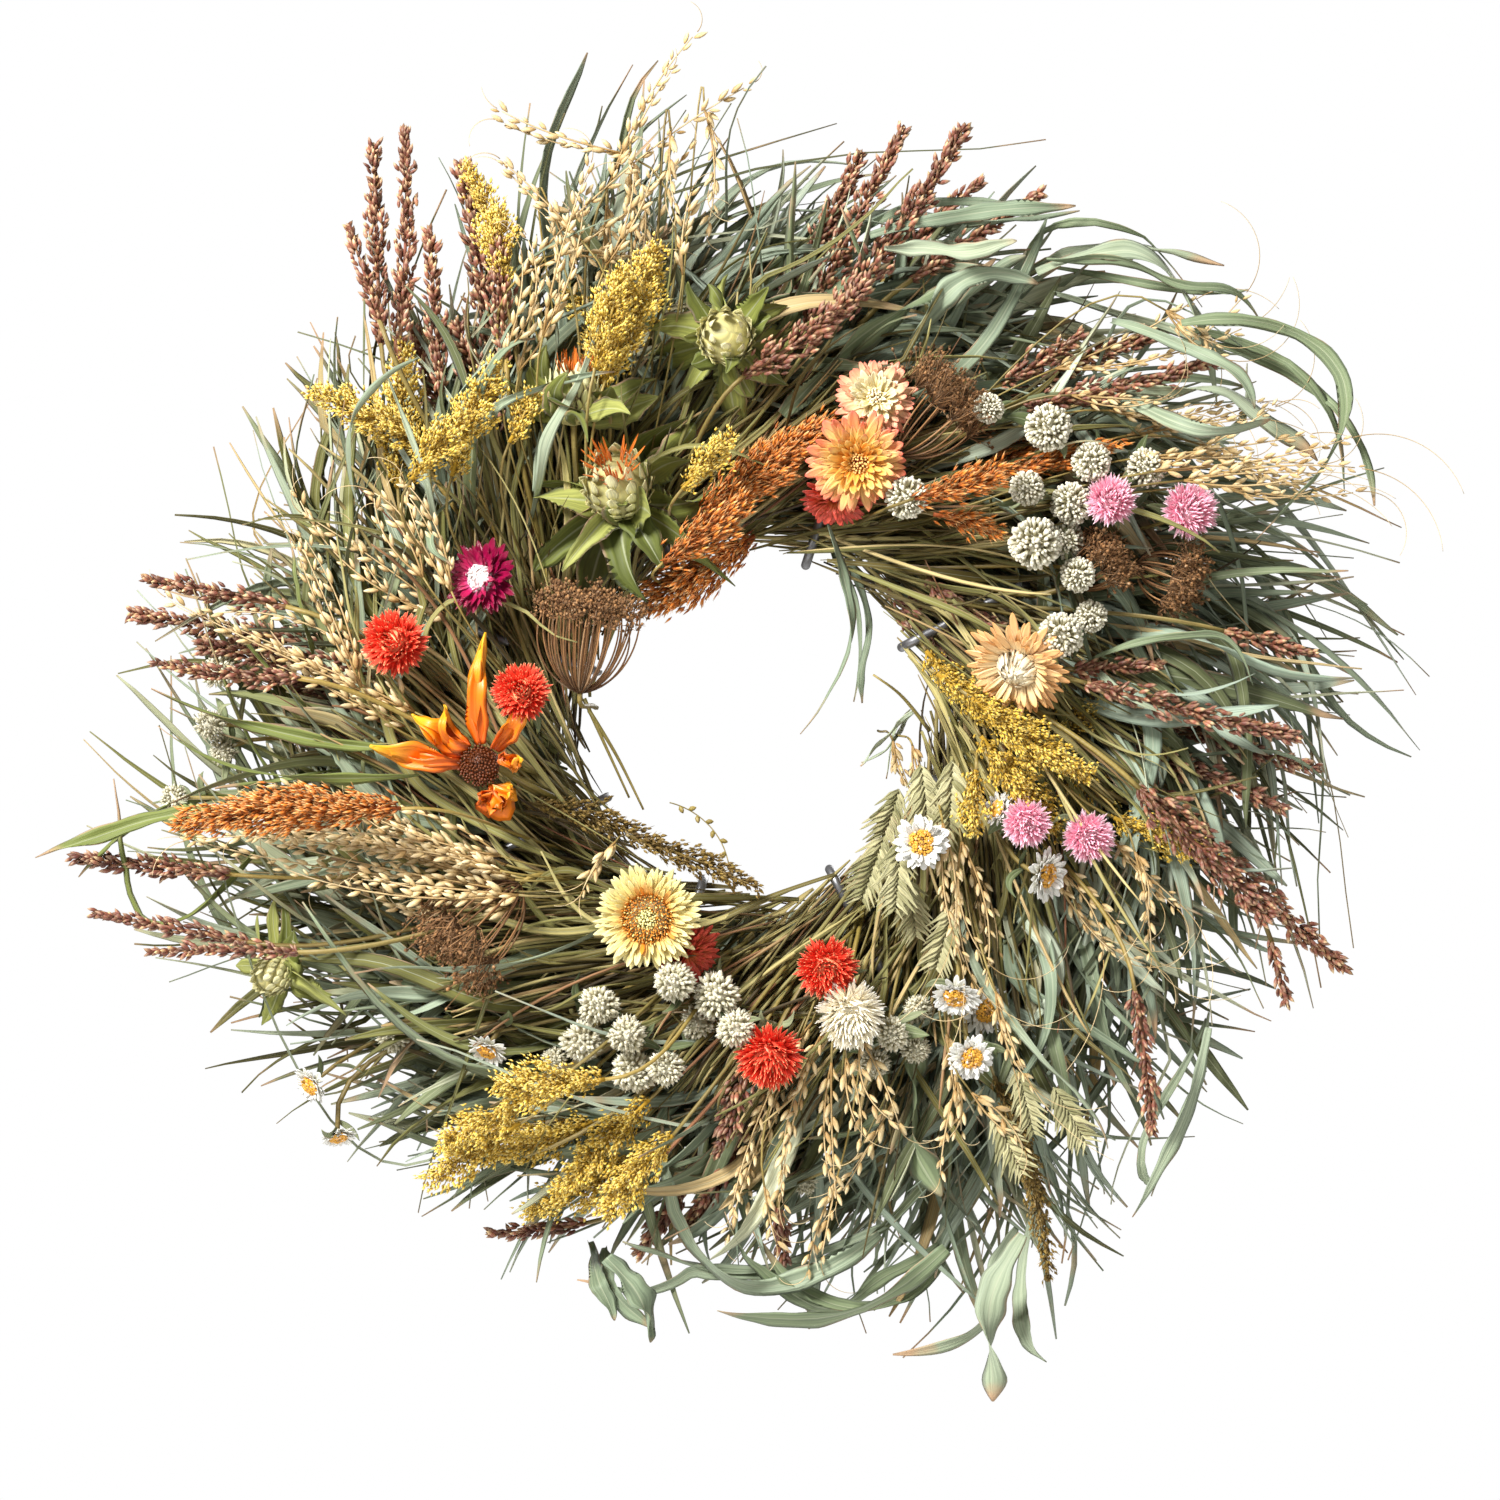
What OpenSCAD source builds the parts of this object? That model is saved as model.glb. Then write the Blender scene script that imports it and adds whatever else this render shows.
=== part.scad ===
// Harvest door wreath: bundles of dried grasses and flowers held by wire clamps on a steel ring.
// The wreath hangs upright in the XZ plane and faces -Y. The origin is the hang point,
// where a nail or door hook bears on the underside of the ring at the top.
// Places in the lists are [x, z] from the ring's centre, and depth is counted towards the viewer.

/* [Ring] */
// Radius of the ring, to the middle of its wire
ring_radius = 100; // [98:1:103]
// Diameter of the ring's wire
ring_wire_d = 4.8; // [4:0.2:6]

/* [Clamps] */
// Diameter of a clamp's wire
clamp_wire_d = 4; // [3:0.2:4.4]
// Distance between a clamp's two arms
clamp_span = 60; // [58:1:66]
// Height of a clamp's arms before they fold over the bundle
clamp_height = 26; // [22:1:32]
// Length of the folded end of each arm
clamp_fold = 12; // [6:1:14]
// Angle of the first clamp, counted from three o'clock
first_clamp_angle = 27; // [20:1:35]

/* [Stems] */
// Diameter of one straw stem
stem_d = 3.4; // [2.4:0.2:4]
// Stems across one bundle
stem_columns = 6; // [4:1:7]
// Stems through the depth of one bundle
stem_rows = 3; // [2:1:4]
// Length of the cut ends that stick out behind the clamp
butt_length = 44; // [30:1:50]
// Length of a stem past the clamp
stem_reach = 96; // [70:1:110]

/* [Leaves] */
// Thickness of one leaf blade
blade_thickness = 1; // [0.6:0.1:1.4]
// Filling leaves in one sector of the wreath
fill_leaves = 12; // [6:1:14]
// Radius at which the leaves leave the bundles
leaf_base_radius = 108; // [106:1:114]
// How far back round the ring a leaf starts, as an angle
leaf_lead = 27; // [20:1:32]

/* [Heads] */
// Size of the flower heads against their drawn size
head_scale = 1; // [0.9:0.05:1.1]
// Size of the seed heads and plumes against their drawn size
spike_scale = 1; // [0.8:0.05:1.1]

/* [Hidden] */
SECTORS = 8;
SECTOR_ANGLE = 360 / SECTORS;
ROUND = 48;
SMALL_ROUND = 24;
centre_z = -(ring_radius - ring_wire_d / 2);
// How far a clamp's wire sinks into the ring's wire where they are joined
weld = 0.4;
// Radius of the bends of a clamp's wire
bend_r = 8;
// Rise of the stems towards the front, as a share of their length
stem_lift = 0.14;
// Angle of the stems against the radius, clockwise
stem_swirl = 66;
// Gap between the middles of neighbouring stems at the clamp
stem_pitch = 6.6;
// Distance behind the clamp of the point that a bundle's stems spread from
stem_apex = 170;

// Depth of the layers that crossing parts are laid in: [first layer, step between layers]
LEAF_LAYERS = [-14, 3];
BROAD_LAYERS = [38, 3];
SORGHUM_LAYERS = [14, 15];
GOLDENROD_LAYERS = [30, 14];
RUST_LAYERS = [34, 14];
RICE_LAYERS = [36, 5];
OATS_LAYERS = [46, 3];

// Tips of the filling leaves: least radius, and spread of the radius beyond it
FILL_TIPS = [170, 62];
// Widths of the filling leaves: least width, and spread beyond it
FILL_WIDTHS = [5, 4];
FILL_BULGE = 0.1;

// Leaf tips round the rim by sector, from three o'clock: [x, z, width, bulge as a share of length]
RIM = [
    [[295, 47, 4, .05], [300, 57, 5, .1], [275, 68, 6, .08], [252, 90, 6, .1], [255, 70, 7, .02],
     [205, 150, 6, .12], [212, 134, 7, .1], [265, 30, 4, .06], [293, 4, 4, .12], [250, 26, 4, .05],
     [250, 15, 5, .08], [200, 168, 8, .02], [238, 104, 5, .1]],
    [[165, 210, 7, .1], [130, 215, 7, .08], [118, 232, 6, .12], [100, 228, 6, .1], [48, 254, 4, .18],
     [38, 247, 6, .1], [30, 236, 5, .06], [60, 232, 9, .1], [76, 214, 8, .1], [150, 190, 9, .06],
     [14, 250, 3, 0], [90, 205, 8, .12]],
    [[-82, 292, 5, .08], [-47, 274, 4, 0], [-10, 264, 5, .1], [-20, 245, 5, .05], [-128, 240, 4, .04],
     [-78, 240, 4, -.06], [-35, 234, 7, .06], [-103, 220, 4, .1], [-142, 208, 5, -.1],
     [-58, 250, 5, .04], [-2, 230, 5, .1], [-95, 262, 3, .06]],
    [[-232, 126, 5, .1], [-205, 160, 5, -.03], [-195, 156, 5, .02], [-182, 162, 4, .06],
     [-200, 130, 5, .05], [-216, 104, 5, .1], [-238, 94, 5, -.1], [-230, 70, 4, .05],
     [-146, 168, 6, .12], [-262, 34, 6, .1], [-266, 44, 5, -.08], [-222, 118, 4, .06]],
    [[-284, -4, 5, .12], [-285, -44, 5, .1], [-256, -20, 5, -.05], [-262, -85, 5, .05],
     [-260, -60, 5, .02], [-246, -6, 4, .1], [-234, -142, 5, .06], [-232, -130, 6, -.1],
     [-222, -112, 8, .05], [-206, -150, 4, .04], [-256, -94, 6, .02], [-244, -104, 5, .04]],
    [[-145, -206, 6, .06], [-168, -198, 5, .05], [-162, -176, 7, .04], [-182, -164, 4, .02],
     [-186, -150, 5, .05], [-120, -210, 7, .08], [-96, -214, 7, .08], [-30, -230, 6, .1],
     [-60, -216, 7, .1], [-196, -134, 5, .04], [-135, -196, 6, .06]],
    [[-10, -232, 7, .08], [60, -252, 5, .1], [80, -254, 6, .05], [92, -262, 7, .02], [98, -248, 4, .02],
     [120, -252, 7, .04], [128, -262, 6, .02], [148, -233, 4, -.12], [155, -219, 4, -.14],
     [143, -216, 5, .02], [150, -204, 5, .03], [50, -230, 4, .05], [68, -240, 5, .06], [12, -226, 6, .1]],
    [[182, -190, 5, -.06], [214, -156, 7, -.12], [198, -164, 6, .04], [240, -78, 4, .05],
     [245, -64, 4, .06], [250, -46, 4, .05], [262, -34, 5, -.04], [253, -13, 5, .08], [236, 3, 4, .06],
     [222, -88, 7, .08], [205, -125, 6, .05], [192, -148, 5, .03], [230, -52, 5, .06], [212, -104, 5, .04]]
];

// Broad blades that lie on top of the rest: [x and z of the base, x and z of the tip, width, bulge]
BROAD = [
    [12, 128, 65, 200, 16, .02], [62, 154, 110, 198, 13, .06], [48, 203, 134, 212, 9, .04],
    [54, 198, 108, 194, 9, .03], [118, 188, 208, 182, 10, .06], [122, 194, 216, 184, 7, .06],
    [150, 139, 234, 127, 10, -.06], [178, 166, 262, 101, 9, .14], [52, -214, -64, -222, 14, .12],
    [-62, -224, -40, -257, 15, 0], [80, -220, -16, -248, 14, .14], [112, -214, 103, -284, 15, -.05],
    [190, -128, 156, -206, 9, .05], [-204, -38, -297, -62, 10, -.1], [-142, -12, -252, 14, 8, .05],
    [-140, -22, -248, -17, 7, -.03], [68, -132, 62, -196, 17, .02], [30, 84, 53, 15, 7, -.06],
    [66, 4, 50, -20, 4, -.1], [-92, 96, -82, 167, 6, 0]
];

// Sorghum heads by part of the wreath: [x and z of the base, x and z of the tip, thickness]
SORGHUM_TOP_LEFT = [
    [-158, 160, -161, 245, 11], [-150, 150, -147, 249, 11], [-157, 168, -170, 207, 8],
    [-112, 150, -124, 236, 17], [-132, 138, -137, 207, 10], [-104, 152, -107, 202, 13],
    [-124, 120, -144, 166, 12], [-108, 122, -126, 168, 13]
];
SORGHUM_TOP_RIGHT = [
    [2, 158, 45, 241, 13], [22, 168, 63, 250, 12], [22, 156, 88, 249, 14], [-4, 144, 48, 184, 15],
    [60, 192, 97, 229, 9], [66, 186, 121, 222, 9]
];
SORGHUM_UPPER_RIGHT = [
    [96, 132, 168, 163, 14], [104, 142, 138, 163, 11], [112, 132, 193, 152, 12]
];
SORGHUM_RIGHT = [
    [56, 56, 88, 22, 12], [72, 60, 110, 38, 10], [134, 22, 171, 24, 9], [138, 16, 226, -6, 13],
    [146, 8, 238, -20, 12], [148, -4, 223, -37, 12], [196, 38, 234, 28, 9], [160, -28, 214, -82, 20],
    [178, -38, 250, -105, 14], [152, -20, 200, -62, 16], [216, -92, 223, -120, 7],
    [158, -112, 165, -172, 9]
];
SORGHUM_BOTTOM = [
    [4, -134, -50, -225, 14], [8, -148, -28, -212, 13], [-2, -140, -16, -182, 12],
    [-72, -212, -112, -216, 8], [10, -204, 13, -228, 7]
];
SORGHUM_LEFT = [
    [-176, 30, -265, 46, 13], [-150, 18, -234, 32, 17], [-196, 48, -256, 60, 10],
    [-190, 18, -250, 25, 10], [-128, 4, -196, 16, 15], [-222, -64, -288, -57, 11],
    [-212, -92, -277, -80, 8], [-190, -96, -252, -96, 7]
];

// Goldenrod plumes by part of the wreath, set out as the sorghum is
GOLDENROD_UPPER_LEFT = [
    [-150, 98, -147, 158, 14], [-132, 112, -186, 138, 13], [-126, 102, -107, 150, 13],
    [-142, 100, -121, 127, 11], [-108, 186, -122, 235, 9], [-104, 182, -107, 216, 11],
    [-62, 142, -41, 197, 17], [-66, 146, -55, 186, 14], [-62, 160, -80, 180, 8],
    [-62, 138, -69, 164, 9], [-102, 116, -92, 136, 10], [-30, 96, -11, 118, 11], [-22, 84, -5, 96, 10]
];
GOLDENROD_RIGHT = [
    [72, 30, 96, 2, 10], [76, 20, 116, -5, 11], [90, 10, 140, -22, 13], [120, -5, 155, 8, 10],
    [105, -14, 126, -46, 11], [94, -6, 112, -32, 11], [124, -12, 152, -36, 11], [150, -40, 190, -56, 10],
    [92, -20, 90, -46, 9]
];
GOLDENROD_BOTTOM = [
    [-40, -180, -96, -206, 15], [-44, -158, -82, -196, 13], [-34, -172, -62, -206, 13],
    [-62, -148, -106, -150, 15], [-68, -168, -112, -180, 15], [-98, -168, -136, -192, 14],
    [-94, -156, -130, -175, 13]
];
FOXTAIL = [
    [-96, -34, -38, -53, 13], [-52, -48, 2, -70, 13], [110, -160, 124, -236, 10],
    [100, -148, 116, -196, 10]
];

// Rust-coloured plumes, set out as the sorghum is
RUST_PLUMES = [
    [0, 78, -44, 50, 20], [-24, 84, 31, 125, 20], [-38, 66, -6, 92, 16], [-146, -36, -238, -42, 17],
    [94, 104, 128, 122, 9], [100, 102, 152, 116, 8], [74, 86, 101, 78, 7], [66, 92, 102, 104, 10]
];

// Strings of rice and millet by part of the wreath, set out as the sorghum is
RICE_TOP = [
    [-54, 238, -108, 257, 4], [-21, 256, -20, 206, 5], [-98, 186, 0, 267, 5], [-62, 190, -42, 232, 5],
    [-72, 200, -106, 234, 4], [-104, 152, -95, 202, 5], [-46, 180, -38, 218, 4], [-62, 216, -63, 162, 5],
    [-78, 196, -46, 196, 4], [-30, 186, -26, 222, 4], [-98, 146, -84, 204, 5], [-88, 160, -68, 232, 5],
    [-86, 216, -72, 178, 5], [-52, 236, -52, 184, 5], [-60, 226, -24, 288, 4], [-35, 246, -33, 214, 4]
];
RICE_RIGHT = [
    [126, 148, 206, 180, 5], [172, 172, 196, 152, 4], [148, 130, 202, 126, 5], [160, 110, 232, 120, 5],
    [166, 104, 248, 118, 5], [178, 100, 252, 105, 5], [156, 120, 218, 132, 5], [186, 116, 226, 98, 5],
    [196, 98, 252, 96, 5], [132, 136, 168, 134, 4], [86, -50, 95, -112, 5], [78, -42, 88, -102, 5],
    [90, -58, 102, -118, 5], [130, -62, 166, -102, 5], [124, -60, 152, -98, 5], [150, -50, 176, -78, 5],
    [158, -54, 165, -98, 5], [100, -112, 116, -152, 4], [58, -8, 68, -32, 4], [66, -10, 74, -38, 4]
];
RICE_BOTTOM = [
    [24, -126, -2, -202, 5], [20, -130, -12, -216, 5], [28, -130, 12, -204, 5], [32, -142, 34, -200, 5],
    [38, -140, 44, -176, 5], [44, -132, 60, -168, 5], [58, -158, 36, -198, 5], [34, -192, 22, -230, 5],
    [4, -194, 9, -218, 4], [80, -130, 86, -172, 4], [84, -150, 77, -190, 4], [90, -154, 112, -178, 4]
];
RICE_LEFT = [
    [-128, 44, -192, 96, 5], [-146, -2, -226, 42, 5], [-142, 4, -246, 52, 5], [-164, 14, -189, 78, 5],
    [-138, 60, -160, 96, 5], [-126, 54, -146, 100, 4], [-104, -60, -200, -26, 5], [-102, -64, -166, -36, 5],
    [-100, -66, -238, -50, 5], [-104, -70, -214, -48, 5], [-106, -62, -184, -46, 5], [-98, -72, -198, -60, 5],
    [-100, -74, -182, -67, 5], [-102, -78, -152, -76, 5], [-106, -56, -176, -30, 5], [-58, -50, -72, -71, 4]
];

// Flat seed heads of sea oats, set out as the sorghum is
SEA_OATS = [
    [60, -28, 52, -52, 13], [69, -18, 72, -46, 14], [82, -16, 80, -50, 14], [53, -48, 44, -74, 14],
    [60, -50, 58, -79, 14], [64, -66, 67, -90, 12], [82, -78, 75, -103, 13], [109, -145, 116, -172, 12],
    [124, -152, 138, -176, 12], [99, -163, 111, -188, 12]
];

// Everlasting daisies: [x, z, diameter, depth, turn to the right, turn upwards]
STRAWFLOWER_YELLOW = [[-45, -82, 44, 62, -4, -6]];
STRAWFLOWERS_CORAL = [[-27, -98, 30, 48, 30, -35], [33, 91, 29, 50, -10, -50]];
STRAWFLOWER_PEACH = [[43, 107, 40, 66, 2, -12]];
STRAWFLOWER_CREAM = [[50, 135, 33, 56, -6, 10]];
STRAWFLOWER_APRICOT = [[108, 21, 40, 60, -28, -32]];
STRAWFLOWER_MAGENTA = [[-115, 60, 29, 58, -32, 4]];

// Globe heads: [x, z, diameter, depth, turn to the right, turn upwards]
GLOBES_RED = [[-150, 33, 27, 56, -14, 6], [-97, 12, 24, 62, -6, 10], [30, -102, 25, 58, 4, -16],
              [6, -139, 27, 60, -14, -36]];
GLOBES_PINK = [[148, 92, 21, 58, 8, 16], [181, 88, 23, 50, 22, 12], [113, -42, 20, 60, -4, -16],
               [139, -48, 21, 56, 14, -14]];
GLOBE_CREAM = [[40, -122, 27, 64, 4, -40]];

// Small white daisies with orange centres, set out as the globes are
AMMOBIUM = [[69, -50, 21, 66, 4, 8], [122, -64, 20, 58, 48, -10], [83, -115, 19, 60, -14, -42],
            [97, -121, 21, 43, 30, -16], [90, -140, 18, 60, 6, -20], [-187, -153, 15, 30, -40, -30],
            [-175, -175, 14, 26, 20, -60], [-112, -138, 16, 44, -30, -50], [101, -36, 14, 52, -50, 20]];

// Round mint heads, set out as the globes are
MINT_UPPER_RIGHT = [[63, 93, 18, 62, -8, -8], [97, 130, 13, 60, 0, 20], [122, 122, 20, 58, 8, 10],
                    [140, 108, 17, 56, 14, 0], [163, 106, 17, 48, 24, 6], [113, 97, 15, 60, 0, 10],
                    [132, 91, 18, 52, 10, 4], [116, 74, 22, 66, -4, -4], [130, 76, 16, 42, 14, 14],
                    [134, 61, 15, 60, 8, -14], [127, 36, 19, 60, 0, 0], [140, 44, 14, 50, 18, 16]];
MINT_BOTTOM = [[-65, -118, 18, 50, -10, -6], [-72, -134, 19, 42, -16, -24], [-53, -130, 17, 57, 4, -14],
               [-51, -146, 20, 45, 0, -36], [-37, -144, 16, 57, 12, -28], [-84, -142, 12, 34, -40, -20],
               [-34, -108, 19, 58, -6, 4], [-16, -114, 21, 50, 4, -4], [-24, -126, 16, 37, -4, -24],
               [-8, -127, 17, 62, -14, -10], [57, -130, 15, 54, 6, -16], [67, -137, 13, 45, 18, -24],
               [50, -143, 14, 42, -8, -34], [68, -120, 13, 40, 20, 0]];
MINT_LEFT = [[-225, 22, 17, 24, -40, 8], [-229, -1, 14, 28, -40, 0], [-224, -12, 13, 20, -40, -20],
             [-245, -32, 13, 16, -50, 0], [-152, -132, 15, 24, -20, -30], [21, -194, 11, 22, 0, -50]];

// Umbels: [x and z where the rays meet, x and z of the middle of the head, diameter, depth]
NEST_UMBEL = [[-73, 12, -69, 44, 44, 46]];
BROWN_UMBELS = [[60, 112, 80, 134, 42, 46], [132, 58, 146, 68, 26, 40], [160, 66, 178, 60, 31, 34],
                [-98, -68, -122, -92, 46, 44]];

// Safflower buds: [x, z, diameter, depth, turn to the right, turn upwards, bracts]
SAFFLOWER_TUFTED = [[-76, 135, 24, 48, -4, 76, 7]];
SAFFLOWER_OPEN = [[-57, 98, 30, 50, -8, 30, 9]];
SAFFLOWER_CLOSED = [[-12, 160, 24, 56, 0, 8, 8]];
SAFFLOWER_CALYX = [[-202, -106, 17, 26, -36, -20, 6]];

// Orange sunflower: its centre, and the tips of the petals it still has: [x, z, width]
SUNFLOWER_CENTRE = [-114, -18];
SUNFLOWER_PETALS = [[-160, -10, 12], [-143, 3, 12], [-104, -38, 15], [-129, 7, 9], [-112, 37, 10],
                    [-93, 8, 10], [-96, -16, 8]];

// A place on the wreath from x, z and the depth towards the viewer
function place(x, z, depth) = [x, -depth, z + centre_z];

// The angle of a sector's clamp
function clamp_angle(k) = first_clamp_angle + SECTOR_ANGLE * (k - 1);

// A steady scatter between 0 and 1 for item i of sector k
function scatter(i, k) = let (v = 7.13 * i * i + 3.7 * i + 5.31 * k) v - floor(v);

// Half the width of a blade at share t of its length
function half_width(t, w) = w / 2 * (0.35 + 0.65 * sin(180 * pow(t, 0.7))) * (1 - 0.85 * pow(t, 3));

// Outline of a blade along +X that bulges to its left
function blade_outline(l, w, bulge, steps = 10) = concat(
    [for (i = [0 : steps]) let (t = i / steps) [l * t, 4 * bulge * t * (1 - t) - half_width(t, w)]],
    [for (i = [steps : -1 : 0]) let (t = i / steps) [l * t, 4 * bulge * t * (1 - t) + half_width(t, w)]]
);

// Depth of item i in a stack of layers that starts again after count layers
function layer(i, layers, count) = layers[0] + layers[1] * (i % count);

// Turns +Z to the direction v
module along(v) {
    rotate([0, acos(v[2] / norm(v)), atan2(v[1], v[0])]) children();
}

// Puts a head at its place, with +Z turned to where it faces
module facing(x, z, depth, right, up) {
    aim = [sin(right) * cos(up), -cos(right) * cos(up), sin(up)];
    translate(place(x, z, depth)) along(aim) children();
}

// A flat blade from base to tip, at one depth
module blade(x0, z0, x1, z1, w, bulge, depth) {
    l = norm([x1 - x0, z1 - z0]);
    translate(place(x0, z0, depth))
        rotate([90, 0, 0]) rotate([0, 0, atan2(z1 - z0, x1 - x0)])
            linear_extrude(blade_thickness) polygon(blade_outline(l, w, bulge * l));
}

// A tapered seed head or plume from base to tip, at one depth
module spike(p, depth) {
    base = place(p[0], p[1], depth);
    tip = place(p[2], p[3], depth);
    d = p[4] * spike_scale;
    l = norm(tip - base);
    translate(base) along(tip - base)
        rotate_extrude($fn = SMALL_ROUND)
            polygon([[0, 0], [0.22 * d, 0], [0.5 * d, 0.3 * l], [0.3 * d, 0.75 * l], [0, l]]);
}

// A list of spikes laid in layers, so that crossing ones stay apart
module spikes(list, layers, count) {
    for (i = [0 : len(list) - 1]) spike(list[i], layer(i, layers, count));
}

// A short stalk behind a head
module stalk(d) {
    translate([0, 0, -1.3 * d]) cylinder(h = 1.2 * d, d = 2.4, $fn = SMALL_ROUND);
}

// A daisy head: a shallow cup of petals round a domed centre
module daisy(p) {
    d = p[2] * head_scale;
    facing(p[0], p[1], p[3], p[4], p[5]) {
        rotate_extrude($fn = ROUND)
            polygon([[0, -0.2 * d], [0.2 * d, -0.18 * d], [0.48 * d, 0], [0.5 * d, 0.06 * d],
                     [0.24 * d, 0.02 * d], [0.18 * d, 0.1 * d], [0, 0.14 * d]]);
        stalk(d);
    }
}

// A round head
module globe(p) {
    d = p[2] * head_scale;
    facing(p[0], p[1], p[3], p[4], p[5]) {
        sphere(d = d, $fn = ROUND);
        stalk(d);
    }
}

// An umbel: a cone of rays that opens into a domed head
module umbel(p) {
    base = place(p[0], p[1], p[5]);
    head = place(p[2], p[3], p[5] + 4);
    l = norm(head - base);
    r = p[4] / 2 * head_scale;
    translate(base) along(head - base)
        rotate_extrude($fn = ROUND)
            polygon([[0, 0], [1.5, 0], [0.7 * r, 0.6 * l], [r, l], [0.75 * r, l + 0.3 * r], [0, l + 0.45 * r]]);
}

// A safflower bud: an egg of scales in a ruff of leafy bracts
module safflower(p) {
    d = p[2] * head_scale;
    bract_thickness = 1.2;
    facing(p[0], p[1], p[3], p[4], p[5]) {
        rotate_extrude($fn = ROUND)
            polygon([[0, -0.5 * d], [0.3 * d, -0.42 * d], [0.5 * d, -0.05 * d], [0.42 * d, 0.3 * d],
                     [0.2 * d, 0.52 * d], [0, 0.56 * d]]);
        stalk(d);
        for (i = [1 : p[6]])
            rotate([0, 0, i * 360 / p[6]]) translate([0.1 * d, 0, -0.3 * d - bract_thickness / 2])
                rotate([0, -18, 0])
                    linear_extrude(bract_thickness) polygon(blade_outline(1.05 * d, 0.42 * d, 0));
    }
}

module frame_ring() {
    color("dimgray")
        translate([0, 0, centre_z]) rotate([90, 0, 0])
            rotate_extrude($fn = 180) translate([ring_radius, 0]) circle(d = ring_wire_d, $fn = ROUND);
}

// One quarter bend of clamp wire, from +Z round to +X
module clamp_bend() {
    rotate([90, 0, 0]) translate([bend_r, 0, 0]) rotate([0, 0, 90])
        rotate_extrude(angle = 90, $fn = ROUND)
            translate([bend_r, 0]) circle(d = clamp_wire_d, $fn = SMALL_ROUND);
}

// Half of a clamp, drawn with the bundle on its +Z side and the arm on its -X side
module clamp_half() {
    arm_x = -clamp_span / 2;
    translate([arm_x + bend_r, 0, 0]) rotate([0, 90, 0])
        cylinder(h = clamp_span / 2 - bend_r, d = clamp_wire_d, $fn = SMALL_ROUND);
    translate([arm_x, 0, bend_r]) mirror([0, 0, 1]) clamp_bend();
    translate([arm_x, 0, bend_r])
        cylinder(h = clamp_height - 2 * bend_r, d = clamp_wire_d, $fn = SMALL_ROUND);
    translate([arm_x, 0, clamp_height - bend_r]) clamp_bend();
    translate([arm_x + bend_r, 0, clamp_height]) rotate([0, 90, 0])
        cylinder(h = clamp_fold, d = clamp_wire_d, $fn = SMALL_ROUND);
    translate([arm_x + bend_r + clamp_fold, 0, clamp_height]) sphere(d = clamp_wire_d, $fn = SMALL_ROUND);
}

module clamp(k) {
    back = (ring_wire_d + clamp_wire_d) / 2 - weld;
    color("gray")
        translate([0, 0, centre_z]) rotate([0, -clamp_angle(k), 0])
            translate([ring_radius, back, 0]) rotate([90, 0, 0]) {
                clamp_half();
                mirror([1, 0, 0]) clamp_half();
            }
}

// A bundle of straw: stems that spread from one point behind their cut ends and rise to the front
module stems(k) {
    lowest = ring_wire_d / 2 + stem_d;
    color("darkkhaki")
        translate([0, 0, centre_z]) rotate([0, -clamp_angle(k), 0]) translate([ring_radius, 0, 0])
            rotate([0, stem_swirl, 0])
                for (row = [0 : stem_rows - 1], column = [0 : stem_columns - 1]) {
                    across = (column - (stem_columns - 1) / 2) * stem_pitch;
                    depth = lowest + row * stem_pitch;
                    way = [stem_apex, -depth - stem_lift * stem_apex, across];
                    share = norm(way) / stem_apex;
                    uneven = 4 * scatter(column, row);
                    translate([-stem_apex, stem_lift * stem_apex, 0]) along(way)
                        translate([0, 0, (stem_apex - butt_length + uneven) * share])
                            cylinder(h = (butt_length + stem_reach) * share, d = stem_d, $fn = SMALL_ROUND);
                }
}

// Tip, width and bulge of filling leaf i of sector k
function fill_leaf(i, k) =
    let (a = SECTOR_ANGLE * (k - 1 + (i + 0.5) / fill_leaves), r = FILL_TIPS[0] + FILL_TIPS[1] * scatter(i, k))
    [r * cos(a), r * sin(a), FILL_WIDTHS[0] + FILL_WIDTHS[1] * scatter(i + 3, k),
     FILL_BULGE * scatter(i + 5, k)];

// The leaves whose tips lie in one sector, each in its own layer. Neighbouring sectors are half a step apart.
module leaves(k) {
    layers = LEAF_LAYERS + [k % 2 ? 0 : LEAF_LAYERS[1] / 2, 0];
    tips = concat(RIM[k - 1], [for (i = [0 : fill_leaves - 1]) fill_leaf(i, k)]);
    color("darkseagreen")
        for (i = [0 : len(tips) - 1]) {
            tip = tips[i];
            base_a = atan2(tip[1], tip[0]) + leaf_lead * (0.8 + 0.4 * scatter(i, k + 1));
            blade(leaf_base_radius * cos(base_a), leaf_base_radius * sin(base_a), tip[0], tip[1],
                  tip[2], tip[3], layer(i, layers, len(tips)));
        }
}

module broad_blades() {
    color("cadetblue")
        for (i = [0 : len(BROAD) - 1])
            blade(BROAD[i][0], BROAD[i][1], BROAD[i][2], BROAD[i][3], BROAD[i][4], BROAD[i][5],
                  layer(i, BROAD_LAYERS, 4));
}

module daisies(list, tint) {
    color(tint) for (p = list) daisy(p);
}

module globes(list, tint) {
    color(tint) for (p = list) globe(p);
}

module umbels(list, tint) {
    color(tint) for (p = list) umbel(p);
}

module safflowers(list) {
    color("yellowgreen") for (p = list) safflower(p);
}

// A dark cone with the curled petals that it still has
module orange_sunflower() {
    cone_d = 15;
    depth = 56;
    x = SUNFLOWER_CENTRE[0];
    z = SUNFLOWER_CENTRE[1];
    color("darkorange") {
        facing(x, z, depth, -10, -8) {
            sphere(d = cone_d, $fn = ROUND);
            stalk(24);
        }
        for (i = [0 : len(SUNFLOWER_PETALS) - 1]) {
            p = SUNFLOWER_PETALS[i];
            way = [p[0] - x, p[1] - z];
            root = [x, z] + way / norm(way) * (cone_d / 2 + 1);
            blade(root[0], root[1], p[0], p[1], p[2], 0.06, depth - 4 + 1.4 * i);
        }
    }
}

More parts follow.
